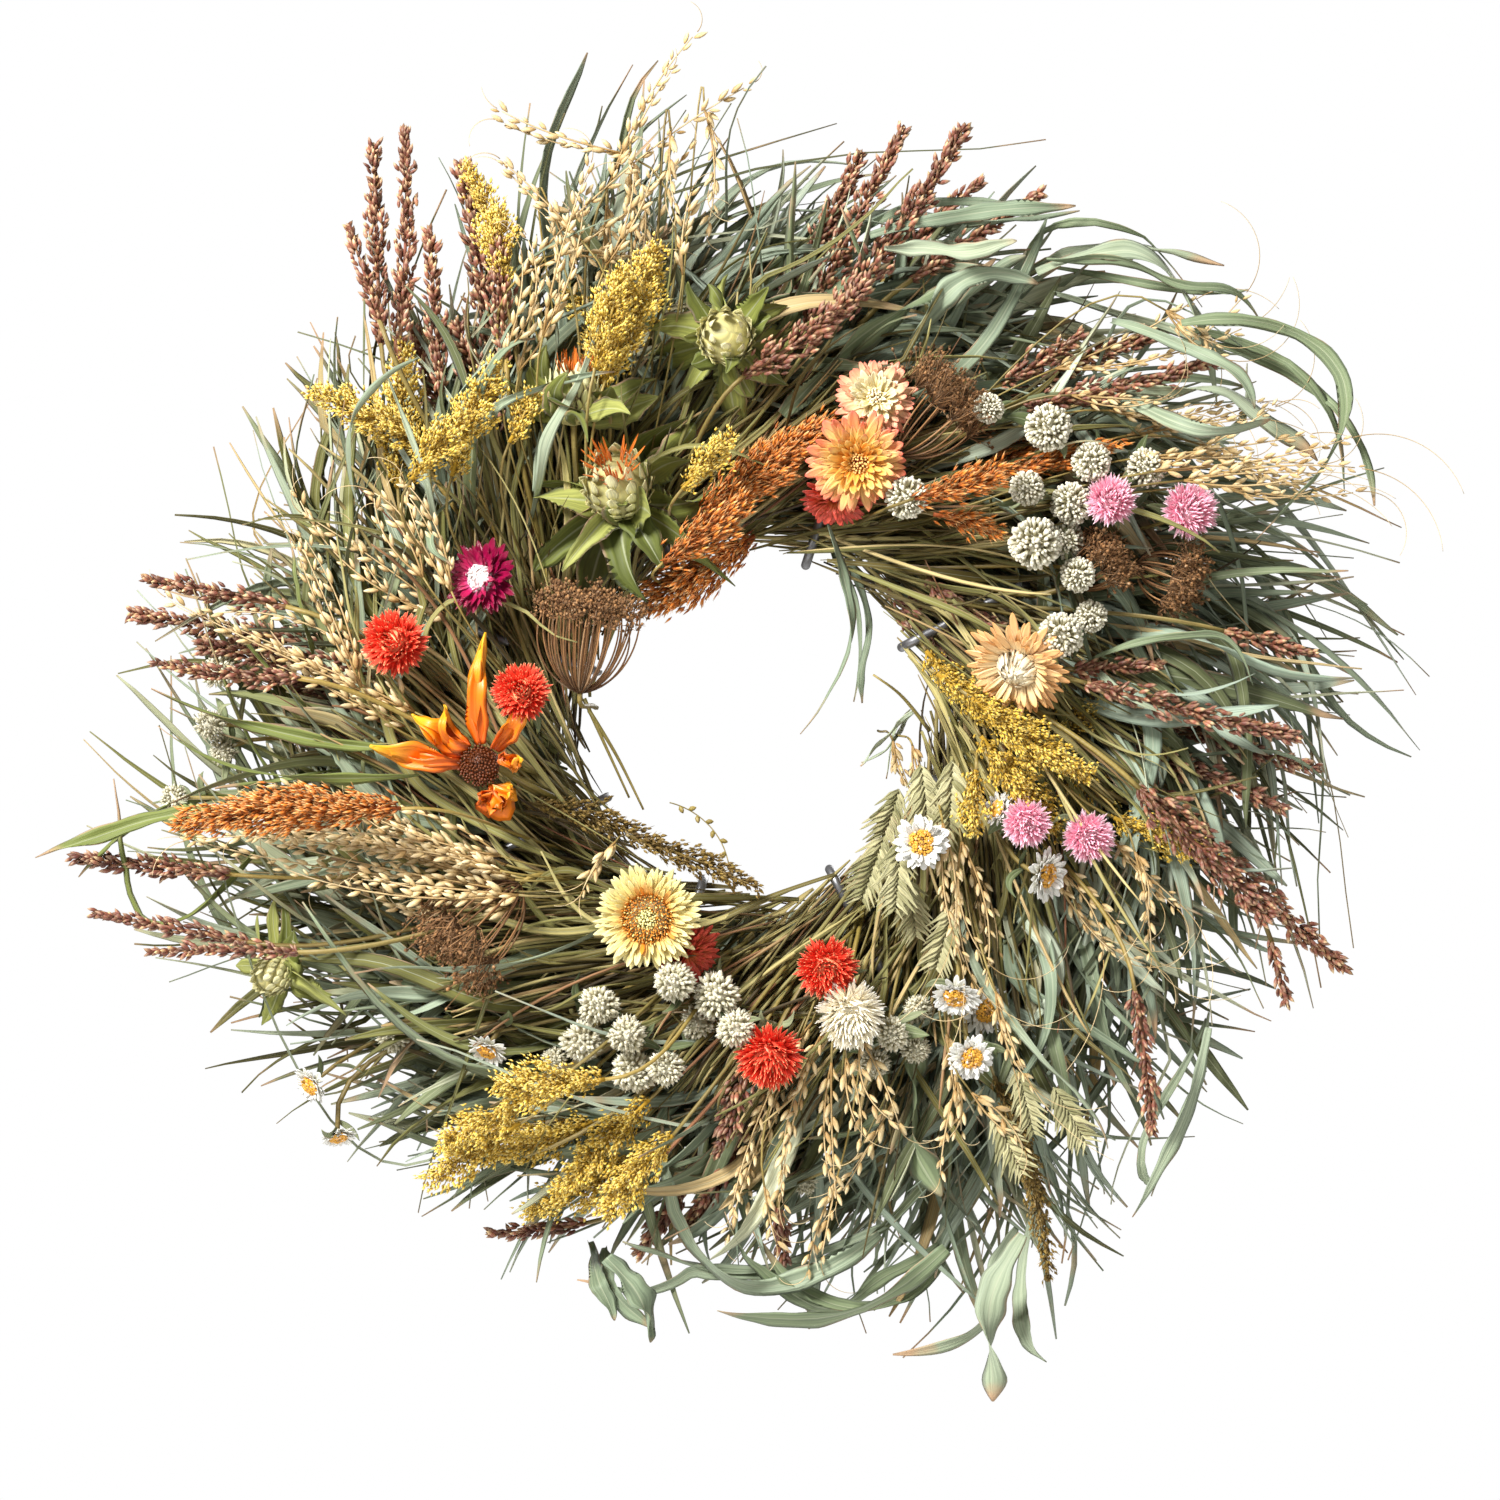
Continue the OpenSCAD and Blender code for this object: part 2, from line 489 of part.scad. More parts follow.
module rust_plumes() {
    color("chocolate") spikes(RUST_PLUMES, RUST_LAYERS, 4);
}

module goldenrod(list, layers) {
    color("goldenrod") spikes(list, GOLDENROD_LAYERS, layers);
}

module foxtail() {
    color("darkgoldenrod") spikes(FOXTAIL, GOLDENROD_LAYERS, 2);
}

module sorghum(list, layers) {
    color("rosybrown") spikes(list, SORGHUM_LAYERS, layers);
}

module sorghum_top() {
    sorghum(SORGHUM_TOP_LEFT, 3);
    sorghum(SORGHUM_TOP_RIGHT, 4);
    sorghum(SORGHUM_UPPER_RIGHT, 3);
}

module rice(list) {
    color("burlywood") spikes(list, RICE_LAYERS, 6);
}

module sea_oats() {
    color("darkkhaki")
        for (i = [0 : len(SEA_OATS) - 1]) {
            p = SEA_OATS[i];
            blade(p[0], p[1], p[2], p[3], p[4], 0, layer(i, OATS_LAYERS, 5));
        }
}

frame_ring();
clamp(1);  // clamp_1
clamp(2);  // clamp_2
clamp(3);  // clamp_3
clamp(4);  // clamp_4
clamp(5);  // clamp_5
clamp(6);  // clamp_6
clamp(7);  // clamp_7
clamp(8);  // clamp_8
stems(1);  // stems_1
stems(2);  // stems_2
stems(3);  // stems_3
stems(4);  // stems_4
stems(5);  // stems_5
stems(6);  // stems_6
stems(7);  // stems_7
stems(8);  // stems_8
leaves(1);  // leaves_1
leaves(2);  // leaves_2
leaves(3);  // leaves_3
leaves(4);  // leaves_4
leaves(5);  // leaves_5
leaves(6);  // leaves_6
leaves(7);  // leaves_7
leaves(8);  // leaves_8
broad_blades();
daisies(STRAWFLOWER_YELLOW, "khaki");  // strawflower_yellow
daisies(STRAWFLOWERS_CORAL, "tomato");  // strawflowers_coral
daisies(STRAWFLOWER_PEACH, "sandybrown");  // strawflower_peach
daisies(STRAWFLOWER_CREAM, "lightsalmon");  // strawflower_cream
daisies(STRAWFLOWER_APRICOT, "burlywood");  // strawflower_apricot
daisies(STRAWFLOWER_MAGENTA, "mediumvioletred");  // strawflower_magenta
globes(GLOBES_RED, "firebrick");  // globes_red
globes(GLOBES_PINK, "palevioletred");  // globes_pink
globes(GLOBE_CREAM, "bisque");  // globe_cream
daisies(AMMOBIUM, "white");  // ammobium
globes(MINT_UPPER_RIGHT, "lightgray");  // mint_upper_right
globes(MINT_BOTTOM, "darkgray");  // mint_bottom
globes(MINT_LEFT, "olivedrab");  // mint_left
umbels(NEST_UMBEL, "tan");  // nest_umbel
umbels(BROWN_UMBELS, "saddlebrown");  // brown_umbels
safflowers(SAFFLOWER_TUFTED);  // safflower_tufted
safflowers(SAFFLOWER_OPEN);  // safflower_open
safflowers(SAFFLOWER_CLOSED);  // safflower_closed
safflowers(SAFFLOWER_CALYX);  // safflower_calyx
orange_sunflower();
rust_plumes();
goldenrod(GOLDENROD_UPPER_LEFT, 4);  // goldenrod_upper_left
goldenrod(GOLDENROD_RIGHT, 3);  // goldenrod_right
goldenrod(GOLDENROD_BOTTOM, 4);  // goldenrod_bottom
foxtail();
sorghum_top();
sorghum(SORGHUM_RIGHT, 4);  // sorghum_right
sorghum(SORGHUM_BOTTOM, 3);  // sorghum_bottom
sorghum(SORGHUM_LEFT, 4);  // sorghum_left
rice(RICE_TOP);  // rice_top
rice(RICE_RIGHT);  // rice_right
rice(RICE_BOTTOM);  // rice_bottom
rice(RICE_LEFT);  // rice_left
sea_oats();
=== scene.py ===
"""The looks of the harvest wreath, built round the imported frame: leaves, straw, seed heads and flowers."""

import math
import zlib

import bpy
import numpy as np
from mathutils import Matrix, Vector


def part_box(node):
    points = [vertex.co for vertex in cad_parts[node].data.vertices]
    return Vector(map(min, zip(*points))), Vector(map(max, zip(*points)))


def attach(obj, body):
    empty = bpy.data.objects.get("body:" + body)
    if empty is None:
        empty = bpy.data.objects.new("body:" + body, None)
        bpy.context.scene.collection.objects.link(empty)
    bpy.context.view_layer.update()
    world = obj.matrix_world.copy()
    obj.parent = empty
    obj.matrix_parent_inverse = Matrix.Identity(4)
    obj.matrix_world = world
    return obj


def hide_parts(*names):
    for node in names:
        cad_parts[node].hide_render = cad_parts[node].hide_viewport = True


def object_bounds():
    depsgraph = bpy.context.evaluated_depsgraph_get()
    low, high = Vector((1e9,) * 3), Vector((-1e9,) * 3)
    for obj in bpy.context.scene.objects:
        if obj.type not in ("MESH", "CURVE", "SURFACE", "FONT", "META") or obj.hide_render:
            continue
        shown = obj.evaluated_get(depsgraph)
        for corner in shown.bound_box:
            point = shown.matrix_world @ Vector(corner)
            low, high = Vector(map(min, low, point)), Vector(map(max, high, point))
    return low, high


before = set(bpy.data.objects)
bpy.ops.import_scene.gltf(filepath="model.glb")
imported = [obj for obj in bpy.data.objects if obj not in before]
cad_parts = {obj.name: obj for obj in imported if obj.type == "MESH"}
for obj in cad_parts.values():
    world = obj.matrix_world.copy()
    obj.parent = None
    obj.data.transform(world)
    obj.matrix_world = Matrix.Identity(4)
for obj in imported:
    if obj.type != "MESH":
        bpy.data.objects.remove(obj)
CAD_BOX = [list(corner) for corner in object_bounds()]
BOX = np.array(CAD_BOX)
MM = 0.001
FRONT = np.array([0.0, -1.0, 0.0])
TAU = 2 * math.pi
GOLDEN = math.pi * (3 - math.sqrt(5))
LOW, HIGH = (np.array(corner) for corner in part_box("frame_ring"))
CENTRE = (LOW + HIGH) / 2


def rgb(*values):
    """A linear colour from screen values of 0 to 255."""
    return tuple((v / 255) ** 2.2 for v in values)


# ---------------------------------------------------------------- reading the frame


def solids(node):
    """The points of each separate solid in a CAD node."""
    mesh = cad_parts[node].data
    points = np.zeros(len(mesh.vertices) * 3)
    mesh.vertices.foreach_get("co", points)
    points = points.reshape(-1, 3)
    edges = np.zeros(len(mesh.edges) * 2, dtype=int)
    mesh.edges.foreach_get("vertices", edges)
    spots, weld = np.unique(np.round(points, 6), axis=0, return_inverse=True)
    weld = weld.ravel()
    a, b = weld[edges.reshape(-1, 2)].T
    label = np.arange(len(spots))
    while True:
        low = np.minimum(label[a], label[b])
        new = label.copy()
        np.minimum.at(new, a, low)
        np.minimum.at(new, b, low)
        new = new[new]
        if (new == label).all():
            break
        label = new
    return [spots[label == k] for k in np.unique(label)]


def unit(v):
    """Vectors of length one along the last axis."""
    return v / np.maximum(np.linalg.norm(v, axis=-1, keepdims=True), 1e-9)


def turned_solid(points):
    """(thin end, middle of the widest ring, wide end, radius) of a solid of revolution."""
    middle = points.mean(0)
    _, spread, axes = np.linalg.svd(points - middle, full_matrices=False)
    spread = spread**2
    axis = axes[0] if spread[0] - spread[1] > spread[1] - spread[2] else axes[2]
    t = (points - middle) @ axis
    r = np.linalg.norm(points - middle - t[:, None] * axis, axis=1)
    widest = t[r > 0.93 * r.max()].mean()
    if t.max() - widest > widest - t.min():
        t, widest, axis = -t, -widest, -axis
    return middle + axis * t.min(), middle + axis * widest, middle + axis * t.max(), r.max()


def blade_line(points):
    """The centre line of a flat blade from base to tip, and its width."""
    front = points[points[:, 1] < points[:, 1].mean()]
    gaps = np.linalg.norm(front[:, None] - front[None], axis=2)
    i, j = np.unravel_index(gaps.argmax(), gaps.shape)
    nearest = np.sort(gaps, axis=1)[:, 1]
    if nearest[i] < nearest[j]:
        i, j = j, i
    chord = unit(front[j] - front[i])
    pairs = front[np.argsort((front - front[i]) @ chord)]
    pairs = pairs[: len(pairs) // 2 * 2].reshape(-1, 2, 3)
    return pairs.mean(1), np.linalg.norm(pairs[:, 0] - pairs[:, 1], axis=1).max()


# ---------------------------------------------------------------- building meshes


class Heap:
    """Points, faces and looks gathered for one piece."""

    def __init__(self, name):
        self.name = name
        self.rng = np.random.default_rng(zlib.crc32(name.encode()))
        self.points, self.looks, self.quads, self.tris = [], [], [], []
        self.count = 0

    def add(self, points, quads, tris, tint, along, across, shade):
        """Adds n like shapes of k points. A look is (tint, along, across, shade); shade sets painted shade,
        low for parts painted dark.
        """
        n, k = points.shape[:2]
        look = np.zeros((n, k, 4))
        look[..., 0] = np.reshape(tint, (-1, 1))
        look[..., 1] = along
        look[..., 2] = across
        look[..., 3] = np.reshape(shade, (-1, 1))
        start = self.count + np.arange(n)[:, None, None] * k
        if len(quads):
            self.quads.append((start + quads[None]).reshape(-1, 4))
        if len(tris):
            self.tris.append((start + tris[None]).reshape(-1, 3))
        self.points.append(points.reshape(-1, 3))
        self.looks.append(look.reshape(-1, 4))
        self.count += n * k

    def mesh(self):
        """One mesh of all the gathered shapes, with smooth faces and the looks on its points."""
        points = np.concatenate(self.points)
        quads = np.concatenate(self.quads) if self.quads else np.zeros((0, 4), int)
        tris = np.concatenate(self.tris) if self.tris else np.zeros((0, 3), int)
        mesh = bpy.data.meshes.new(self.name)
        mesh.vertices.add(len(points))
        mesh.vertices.foreach_set("co", points.ravel().astype(np.float32))
        mesh.loops.add(quads.size + tris.size)
        mesh.loops.foreach_set("vertex_index", np.concatenate([quads.ravel(), tris.ravel()]).astype(np.int32))
        sizes = np.concatenate([np.full(len(quads), 4), np.full(len(tris), 3)])
        mesh.polygons.add(len(sizes))
        mesh.polygons.foreach_set("loop_start", (np.cumsum(sizes) - sizes).astype(np.int32))
        mesh.polygons.foreach_set("use_smooth", np.ones(len(sizes), bool))
        mesh.update(calc_edges=True)
        look = mesh.attributes.new("look", "FLOAT_COLOR", "POINT")
        look.data.foreach_set("color", np.concatenate(self.looks).ravel().astype(np.float32))
        mesh.validate()
        return mesh

    def build(self, material, slot, *nodes):
        """Makes the piece, hangs it on the root body and hides the CAD nodes it stands for."""
        piece = bpy.data.objects.new(self.name, self.mesh())
        bpy.context.scene.collection.objects.link(piece)
        piece.data.materials.append(material)
        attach(piece, "root")
        if nodes:
            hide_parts(*nodes)


RING = np.array([-1, -0.5, 0, 0.5, 1, 0.5, 0, -0.5])
SIDE = np.array([0, 1, 1, 1, 0, -1, -1, -1])
CAPS = [[1, 2, 6, 7], [2, 3, 5, 6]], [[0, 1, 7], [3, 4, 5]]
BLADE = 0.3 * MM


def strip_faces(m, k, cap_quads, cap_tris):
    """Faces of a closed strip of m rings of k points with flat caps."""
    j, i = np.meshgrid(np.arange(k), np.arange(m - 1))
    nxt = (j + 1) % k
    quads = np.stack([i * k + j, i * k + nxt, (i + 1) * k + nxt, (i + 1) * k + j], -1).reshape(-1, 4)
    last = (m - 1) * k
    cap_quads = np.array(cap_quads, int).reshape(-1, 4)
    cap_tris = np.array(cap_tris, int).reshape(-1, 3)
    quads = np.concatenate([quads, cap_quads[:, ::-1], cap_quads + last])
    return quads, np.concatenate([cap_tris[:, ::-1], cap_tris + last])


def ribbon_shape(line, half, roll, fold, thickness=BLADE, facing=FRONT):
    """Points of n closed ribbons along lines (n, m, 3), with half widths, rolls and folds (n, m)."""
    tangent = unit(np.gradient(line, axis=1))
    normal = np.broadcast_to(facing, line.shape)
    normal = unit(normal - (normal * tangent).sum(-1, keepdims=True) * tangent)
    cross = np.cross(tangent, normal)
    c, s = np.cos(roll)[..., None], np.sin(roll)[..., None]
    normal, cross = c * normal + s * cross, c * cross - s * normal
    x = half[..., None] * np.cos(fold)[..., None] * RING
    y = half[..., None] * np.sin(fold)[..., None] * np.abs(RING) ** 1.3 + SIDE * thickness / 2
    points = line[:, :, None] + cross[:, :, None] * x[..., None] + normal[:, :, None] * y[..., None]
    n, m = line.shape[:2]
    along = np.repeat(np.linspace(0, 1, m), len(RING))
    across = np.tile(RING * 0.5 + 0.5, m)
    return points.reshape(n, -1, 3), *strip_faces(m, len(RING), *CAPS), along, across


def add_ribbons(heap, line, half, roll, fold, tint, shade):
    """Adds closed ribbons to a heap."""
    points, quads, tris, along, across = ribbon_shape(line, half, roll, fold)
    heap.add(points, quads, tris, tint, along, across, shade)


def add_tubes(heap, line, radius, tint, shade, sides=5):
    """Adds closed round tubes along lines (n, m, 3) with radii (n, m)."""
    n, m = line.shape[:2]
    tangent = unit(np.gradient(line, axis=1))
    other = np.where(np.abs(tangent[..., 1:2]) > 0.9, np.array([1.0, 0, 0]), FRONT)
    x = unit(np.cross(tangent, other))
    y = np.cross(tangent, x)
    turn = np.arange(sides) * TAU / sides
    ring = x[:, :, None] * np.cos(turn)[:, None] + y[:, :, None] * np.sin(turn)[:, None]
    points = (line[:, :, None] + ring * radius[..., None, None]).reshape(n, -1, 3)
    caps = [[0, i, i + 1] for i in range(1, sides - 1)]
    quads, tris = strip_faces(m, sides, [], caps)
    along = np.repeat(np.linspace(0, 1, m), sides)
    across = np.tile(np.arange(sides) / sides, m)
    heap.add(points, quads[:, ::-1], tris[:, ::-1], tint, along, across, shade)


def add_stem(heap, line, thick, thin, tint, shade, sides=5):
    """One closed round stem along a line, from one radius in mm to another."""
    add_tubes(heap, line[None], np.linspace(thick, thin, len(line))[None] * MM, tint, shade, sides)


def lathe(profile, sides):
    """A turned shape along +Z from (z, radius) pairs, as (points, quads, tris, along, across)."""
    profile = np.array(profile, float)
    turn = np.arange(sides) * TAU / sides
    inner = profile[1:-1]
    rings = np.stack([inner[:, 1:2] * np.cos(turn), inner[:, 1:2] * np.sin(turn),
                      np.repeat(inner[:, :1], sides, 1)], -1).reshape(-1, 3)
    points = np.concatenate([rings, [[0, 0, profile[0, 0]], [0, 0, profile[-1, 0]]]])
    m, top = len(inner), len(points) - 1
    tris = [[top - 1, (j + 1) % sides, j] for j in range(sides)]
    tris += [[top, (m - 1) * sides + j, (m - 1) * sides + (j + 1) % sides] for j in range(sides)]
    z = points[:, 2]
    along = (z - z.min()) / max(np.ptp(z), 1e-9)
    across = np.append(np.tile(np.arange(sides) / sides, m), [0.5, 0.5])
    return points, strip_faces(m, sides, [], [])[0], np.array(tris), along, across


def petal(length, width, cup, curl, rings=7, point=0.6, thickness=0.25 * MM):
    """A petal from the origin along +X that faces +Z: cup folds it, curl bends its end up."""
    t = np.sin(np.linspace(0, math.pi / 2, rings))
    line = np.stack([length * t, np.zeros(rings), curl * length * t**2], -1)[None]
    half = width / 2 * (0.45 + 0.55 * np.sin(math.pi * np.minimum(t / (2 * point), 1.0)))
    half = np.where(t > point, half * np.sqrt(np.maximum(1 - ((t - point) / (1 - point)) ** 2, 0.003)), half)
    flat = np.zeros((1, rings))
    points, *rest = ribbon_shape(line, half[None], flat, flat + cup, thickness, np.array([0, 0, 1.0]))
    return points[0], *rest


def frames(way, spin=None):
    """Rotations whose third column is each way, turned about it by spin."""
    way = unit(way)
    other = np.where(np.abs(way[:, 2:3]) > 0.9, np.array([1.0, 0, 0]), np.array([0, 0, 1.0]))
    x = unit(np.cross(other, way))
    y = np.cross(way, x)
    if spin is not None:
        c, s = np.cos(spin)[:, None], np.sin(spin)[:, None]
        x, y = c * x + s * y, c * y - s * x
    return np.stack([x, y, way], -1)


def frame_on(way):
    """The rotation whose third column is one way."""
    return frames(way[None])[0]


def add_copies(heap, shape, turn, place, tint, shade):
    """Adds a copy of the shape for each 3x3 turn (which may scale it) and place."""
    points = np.einsum("nij,vj->nvi", turn, shape[0]) + place[:, None]
    heap.add(points, shape[1], shape[2], tint, shape[3], shape[4], shade)


def polar(point):
    """Distance and angle of points from the ring's axis, as seen from the front."""
    d = point - CENTRE
    return np.hypot(d[..., 0], d[..., 2]), np.arctan2(d[..., 2], d[..., 0])


def at(radius, angle, depth):
    """A point from its distance and angle round the ring's axis, and its depth towards the viewer."""
    radius, angle, depth = np.broadcast_arrays(radius, angle, depth)
    return np.stack([CENTRE[0] + radius * np.cos(angle), -depth, CENTRE[2] + radius * np.sin(angle)], -1)


def bezier(p0, p1, p2, p3, m):
    """Points (n, m, 3) along n cubic curves."""
    t = np.linspace(0, 1, m)[None, :, None]
    p0, p1, p2, p3 = (p[:, None] for p in (p0, p1, p2, p3))
    return (1 - t) ** 3 * p0 + 3 * t * (1 - t) ** 2 * p1 + 3 * t**2 * (1 - t) * p2 + t**3 * p3


def heading(angle, rise):
    """Unit vectors in the wreath's plane at an angle, with a share of rise towards the viewer."""
    return unit(np.stack([np.cos(angle), -rise, np.sin(angle)], -1))


# ---------------------------------------------------------------- materials


class Shader:
    """A small helper to write node materials in a few lines."""

    def __init__(self, name, roughness):
        self.material = bpy.data.materials.new(name)
        self.material.use_nodes = True
        self.tree = self.material.node_tree
        self.bsdf = self.tree.nodes["Principled BSDF"]
        self.bsdf.inputs["Roughness"].default_value = roughness
        self.looks = None

    def node(self, kind, **values):
        made = self.tree.nodes.new(kind)
        for key, value in values.items():
            setattr(made, key, value)
        return made

    def link(self, source, target):
        self.tree.links.new(source, target)

    def put(self, target, value):
        """Links a socket, or sets a plain value."""
        if isinstance(value, bpy.types.NodeSocket):
            self.link(value, target)
        elif isinstance(value, (tuple, list)) and len(value) == 3 and target.type == "RGBA":
            target.default_value = (*value, 1.0)
        else:
            target.default_value = value

    def look(self, channel):
        """tint, along, across or shade (painted shade), from the mesh."""
        if self.looks is None:
            source = self.node("ShaderNodeAttribute", attribute_name="look")
            split = self.node("ShaderNodeSeparateColor")
            self.link(source.outputs["Color"], split.inputs["Color"])
            self.looks = dict(tint=split.outputs[0], along=split.outputs[1], across=split.outputs[2],
                              shade=source.outputs["Alpha"])
        return self.looks[channel]

    def math(self, operation, a, b=0.0):
        made = self.node("ShaderNodeMath", operation=operation)
        self.put(made.inputs[0], a)
        self.put(made.inputs[1], b)
        return made.outputs[0]

    def span(self, value, low, high, out_low=0.0, out_high=1.0):
        """Maps low to high smoothly onto out_low to out_high."""
        made = self.node("ShaderNodeMapRange", interpolation_type="SMOOTHSTEP")
        for k, v in zip(range(5), (value, low, high, out_low, out_high)):
            self.put(made.inputs[k], v)
        return made.outputs[0]

    def ramp(self, factor, *stops):
        """A colour ramp. A stop is (place, red, green, blue) on a screen, or (place, linear colour)."""
        made = self.node("ShaderNodeValToRGB")
        band = made.color_ramp
        while len(band.elements) < len(stops):
            band.elements.new(0.5)
        for element, (place, *colour) in zip(band.elements, stops):
            element.position = place
            element.color = (*(rgb(*colour) if len(colour) == 3 else colour[0]), 1.0)
        self.put(made.inputs[0], factor)
        return made.outputs[0]

    def mix(self, factor, a, b, blend="MIX"):
        made = self.node("ShaderNodeMix", data_type="RGBA", blend_type=blend)
        self.put(made.inputs["Factor"], factor)
        self.put(made.inputs[6], a)
        self.put(made.inputs[7], b)
        return made.outputs[2]

    def times(self, a, b, factor=1.0):
        """One colour times another, or a share of that."""
        return self.mix(factor, a, b, "MULTIPLY")

    def shaded(self, colour):
        """The colour with painted shade: darker and browner where the mesh is deep in the mass."""
        return self.times(colour, self.ramp(self.look("shade"), *PAINTED_SHADE_RAMP))

    def tinted(self, along, tints):
        """A colour by the place along a shape, times a tint for each shape."""
        return self.times(self.ramp(self.look("along"), *along), self.ramp(self.look("tint"), *tints))

    def noise(self, scale, detail=3.0, vector=None):
        made = self.node("ShaderNodeTexNoise")
        made.inputs["Scale"].default_value = scale
        made.inputs["Detail"].default_value = detail
        if vector is None:
            vector = self.node("ShaderNodeTexCoord").outputs["Object"]
        self.link(vector, made.inputs["Vector"])
        return made.outputs["Fac"]

    def lines(self, across, along):
        """Noise drawn out along the blade: many fine lines across it."""
        vector = self.node("ShaderNodeCombineXYZ")
        self.put(vector.inputs[0], self.math("MULTIPLY", self.look("across"), across))
        self.put(vector.inputs[1], self.math("MULTIPLY", self.look("along"), along))
        self.put(vector.inputs[2], self.math("MULTIPLY", self.look("tint"), 90.0))
        return self.noise(1.0, 4.0, vector.outputs[0])

    def bump(self, height, strength, distance):
        made = self.node("ShaderNodeBump")
        made.inputs["Strength"].default_value = strength
        made.inputs["Distance"].default_value = distance
        self.link(height, made.inputs["Height"])
        self.link(made.outputs[0], self.bsdf.inputs["Normal"])

    def finish(self, colour, sheen=0.0, specular=0.35):
        self.put(self.bsdf.inputs["Base Color"], colour)
        self.bsdf.inputs["Specular IOR Level"].default_value = specular
        self.bsdf.inputs["Sheen Weight"].default_value = sheen
        return self.material


# Painted shade: colours by the look's shade, from dark brown for deep parts to plain for lit ones.
PAINTED_SHADE_RAMP = (0.0, (0.15, 0.105, 0.065)), (0.5, (0.56, 0.50, 0.42)), (1.0, (1.0, 1.0, 1.0))


LEAF_ROUGHNESS = 0.6
LEAF_TAN = (0.46, 0.30, 0.17)
MIDRIB = (0.50, 0.52, 0.36)


def leaf_material(name, *stops, tip=0.86):
    """A dried blade: colour by tint, fine veins, a pale midrib, and tan edges and tip."""
    s = Shader(name, LEAF_ROUGHNESS)
    veins = s.lines(14.0, 1.6)
    patches = s.noise(38.0)
    colour = s.ramp(s.look("tint"), *stops)
    colour = s.times(colour, (0.75, 0.78, 0.62), s.span(patches, 0.35, 0.7, 0.0, 0.35))
    colour = s.mix(s.span(veins, 0.3, 0.75), s.times(colour, (0.72, 0.74, 0.70)),
                   s.times(colour, (1.22, 1.2, 1.14)))
    side = s.math("ABSOLUTE", s.math("SUBTRACT", s.look("across"), 0.5))
    colour = s.mix(s.span(side, 0.05, 0.0, 0.0, 0.45), colour, MIDRIB)
    edge = s.math("MULTIPLY", s.span(side, 0.40, 0.5), s.span(patches, 0.5, 0.62))
    worn = s.math("ADD", s.look("along"), s.math("MULTIPLY", s.math("SUBTRACT", patches, 0.5), 0.5))
    brown = s.math("MAXIMUM", edge, s.span(worn, tip, tip + 0.12))
    # Tan edges and tip are the blade's own; shaded adds painted shade in the depths.
    colour = s.shaded(s.mix(brown, colour, LEAF_TAN))
    s.put(s.bsdf.inputs["Roughness"], s.span(veins, 0.2, 0.8, LEAF_ROUGHNESS - 0.12, LEAF_ROUGHNESS + 0.12))
    s.bump(veins, 0.55, 0.6 * MM)
    return s.finish(colour, sheen=0.08)


def seed_material(name, along, tints, roughness=0.5, grain=900.0):
    """Seeds, kernels and florets: a fine grain and brown and pale streaks."""
    s = Shader(name, roughness)
    grains = s.noise(grain, 2.0)
    streaks = s.lines(5.0, 1.3)
    colour = s.tinted(along, tints)
    colour = s.times(colour, (0.6, 0.55, 0.5), s.span(grains, 0.3, 0.7, 0.0, 0.4))
    colour = s.times(colour, (0.5, 0.36, 0.3), s.span(streaks, 0.45, 0.7, 0.0, 0.5))
    colour = s.mix(s.span(streaks, 0.45, 0.28, 0.0, 0.5), colour, (0.72, 0.6, 0.42))
    # Painted shade: darker and browner in the depths of the mass.
    colour = s.shaded(colour)
    s.bump(grains, 0.3, 0.4 * MM)
    return s.finish(colour)


def petal_material(name, *along, roughness=0.42, tints=((0.0, (0.82,) * 3), (1.0, (1.08,) * 3)), lined=0.6):
    """Papery petals: fine lines and a soft shine."""
    s = Shader(name, roughness)
    lines = s.lines(16.0, 1.2)
    colour = s.tinted(along, tints)
    colour = s.times(colour, (0.72, 0.66, 0.6), s.span(lines, 0.35, 0.75, 0.0, lined))
    s.put(s.bsdf.inputs["Roughness"], s.span(lines, 0.2, 0.8, roughness - 0.1, roughness + 0.15))
    s.bump(lines, 0.5, 0.5 * MM)
    return s.finish(colour, specular=0.5)


def steel_material(name, shade):
    """Dull drawn wire with faint scratches and darker patches."""
    s = Shader(name, 0.4)
    patches = s.noise(90.0, 5.0)
    colour = s.ramp(patches, (0.3, tuple(0.6 * c for c in shade)), (0.7, shade))
    s.bsdf.inputs["Metallic"].default_value = 0.9
    s.put(s.bsdf.inputs["Roughness"], s.span(patches, 0.3, 0.7, 0.55, 0.32))
    s.bump(s.noise(1400.0, 2.0), 0.15, 0.2 * MM)
    return s.finish(colour, specular=0.5)


# ---------------------------------------------------------------- curves that the plants follow


class Draws:
    """Random values for n things, as a column."""

    def __init__(self, rng, n):
        self.rng, self.shape = rng, (n, 1)

    def share(self):
        return self.rng.random(self.shape)

    def between(self, low, high):
        return self.rng.uniform(low, high, self.shape)

    def about(self, middle, spread):
        return self.rng.normal(middle, spread, self.shape)


def ease(t, start, stop):
    """0 up to start, then straight up to 1 at stop."""
    return np.clip((t - start) / (stop - start), 0, 1)


def sideways(line):
    """Unit vectors square to lines (n, m, 3), in the plane seen from the front."""
    return unit(np.cross(unit(np.gradient(line, axis=1)), FRONT))


def resample(lines, m):
    """Lines (n, k, 3) with m points each."""
    place = np.linspace(0, lines.shape[1] - 1, m)
    low = np.minimum(place.astype(int), lines.shape[1] - 2)
    share = (place - low)[None, :, None]
    return lines[:, low] * (1 - share) + lines[:, low + 1] * share


RIM = 232 * MM
RIM_LOBES = (14 * MM, 3, 0.8), (12 * MM, 8, 0.0)


def rim_radius(angle):
    """How far the mass of leaves reaches at an angle: a round with a few broad lobes."""
    return RIM + sum(size * np.sin(count * angle + turn) for size, count, turn in RIM_LOBES)


SIBLING_BULGE = 0.045


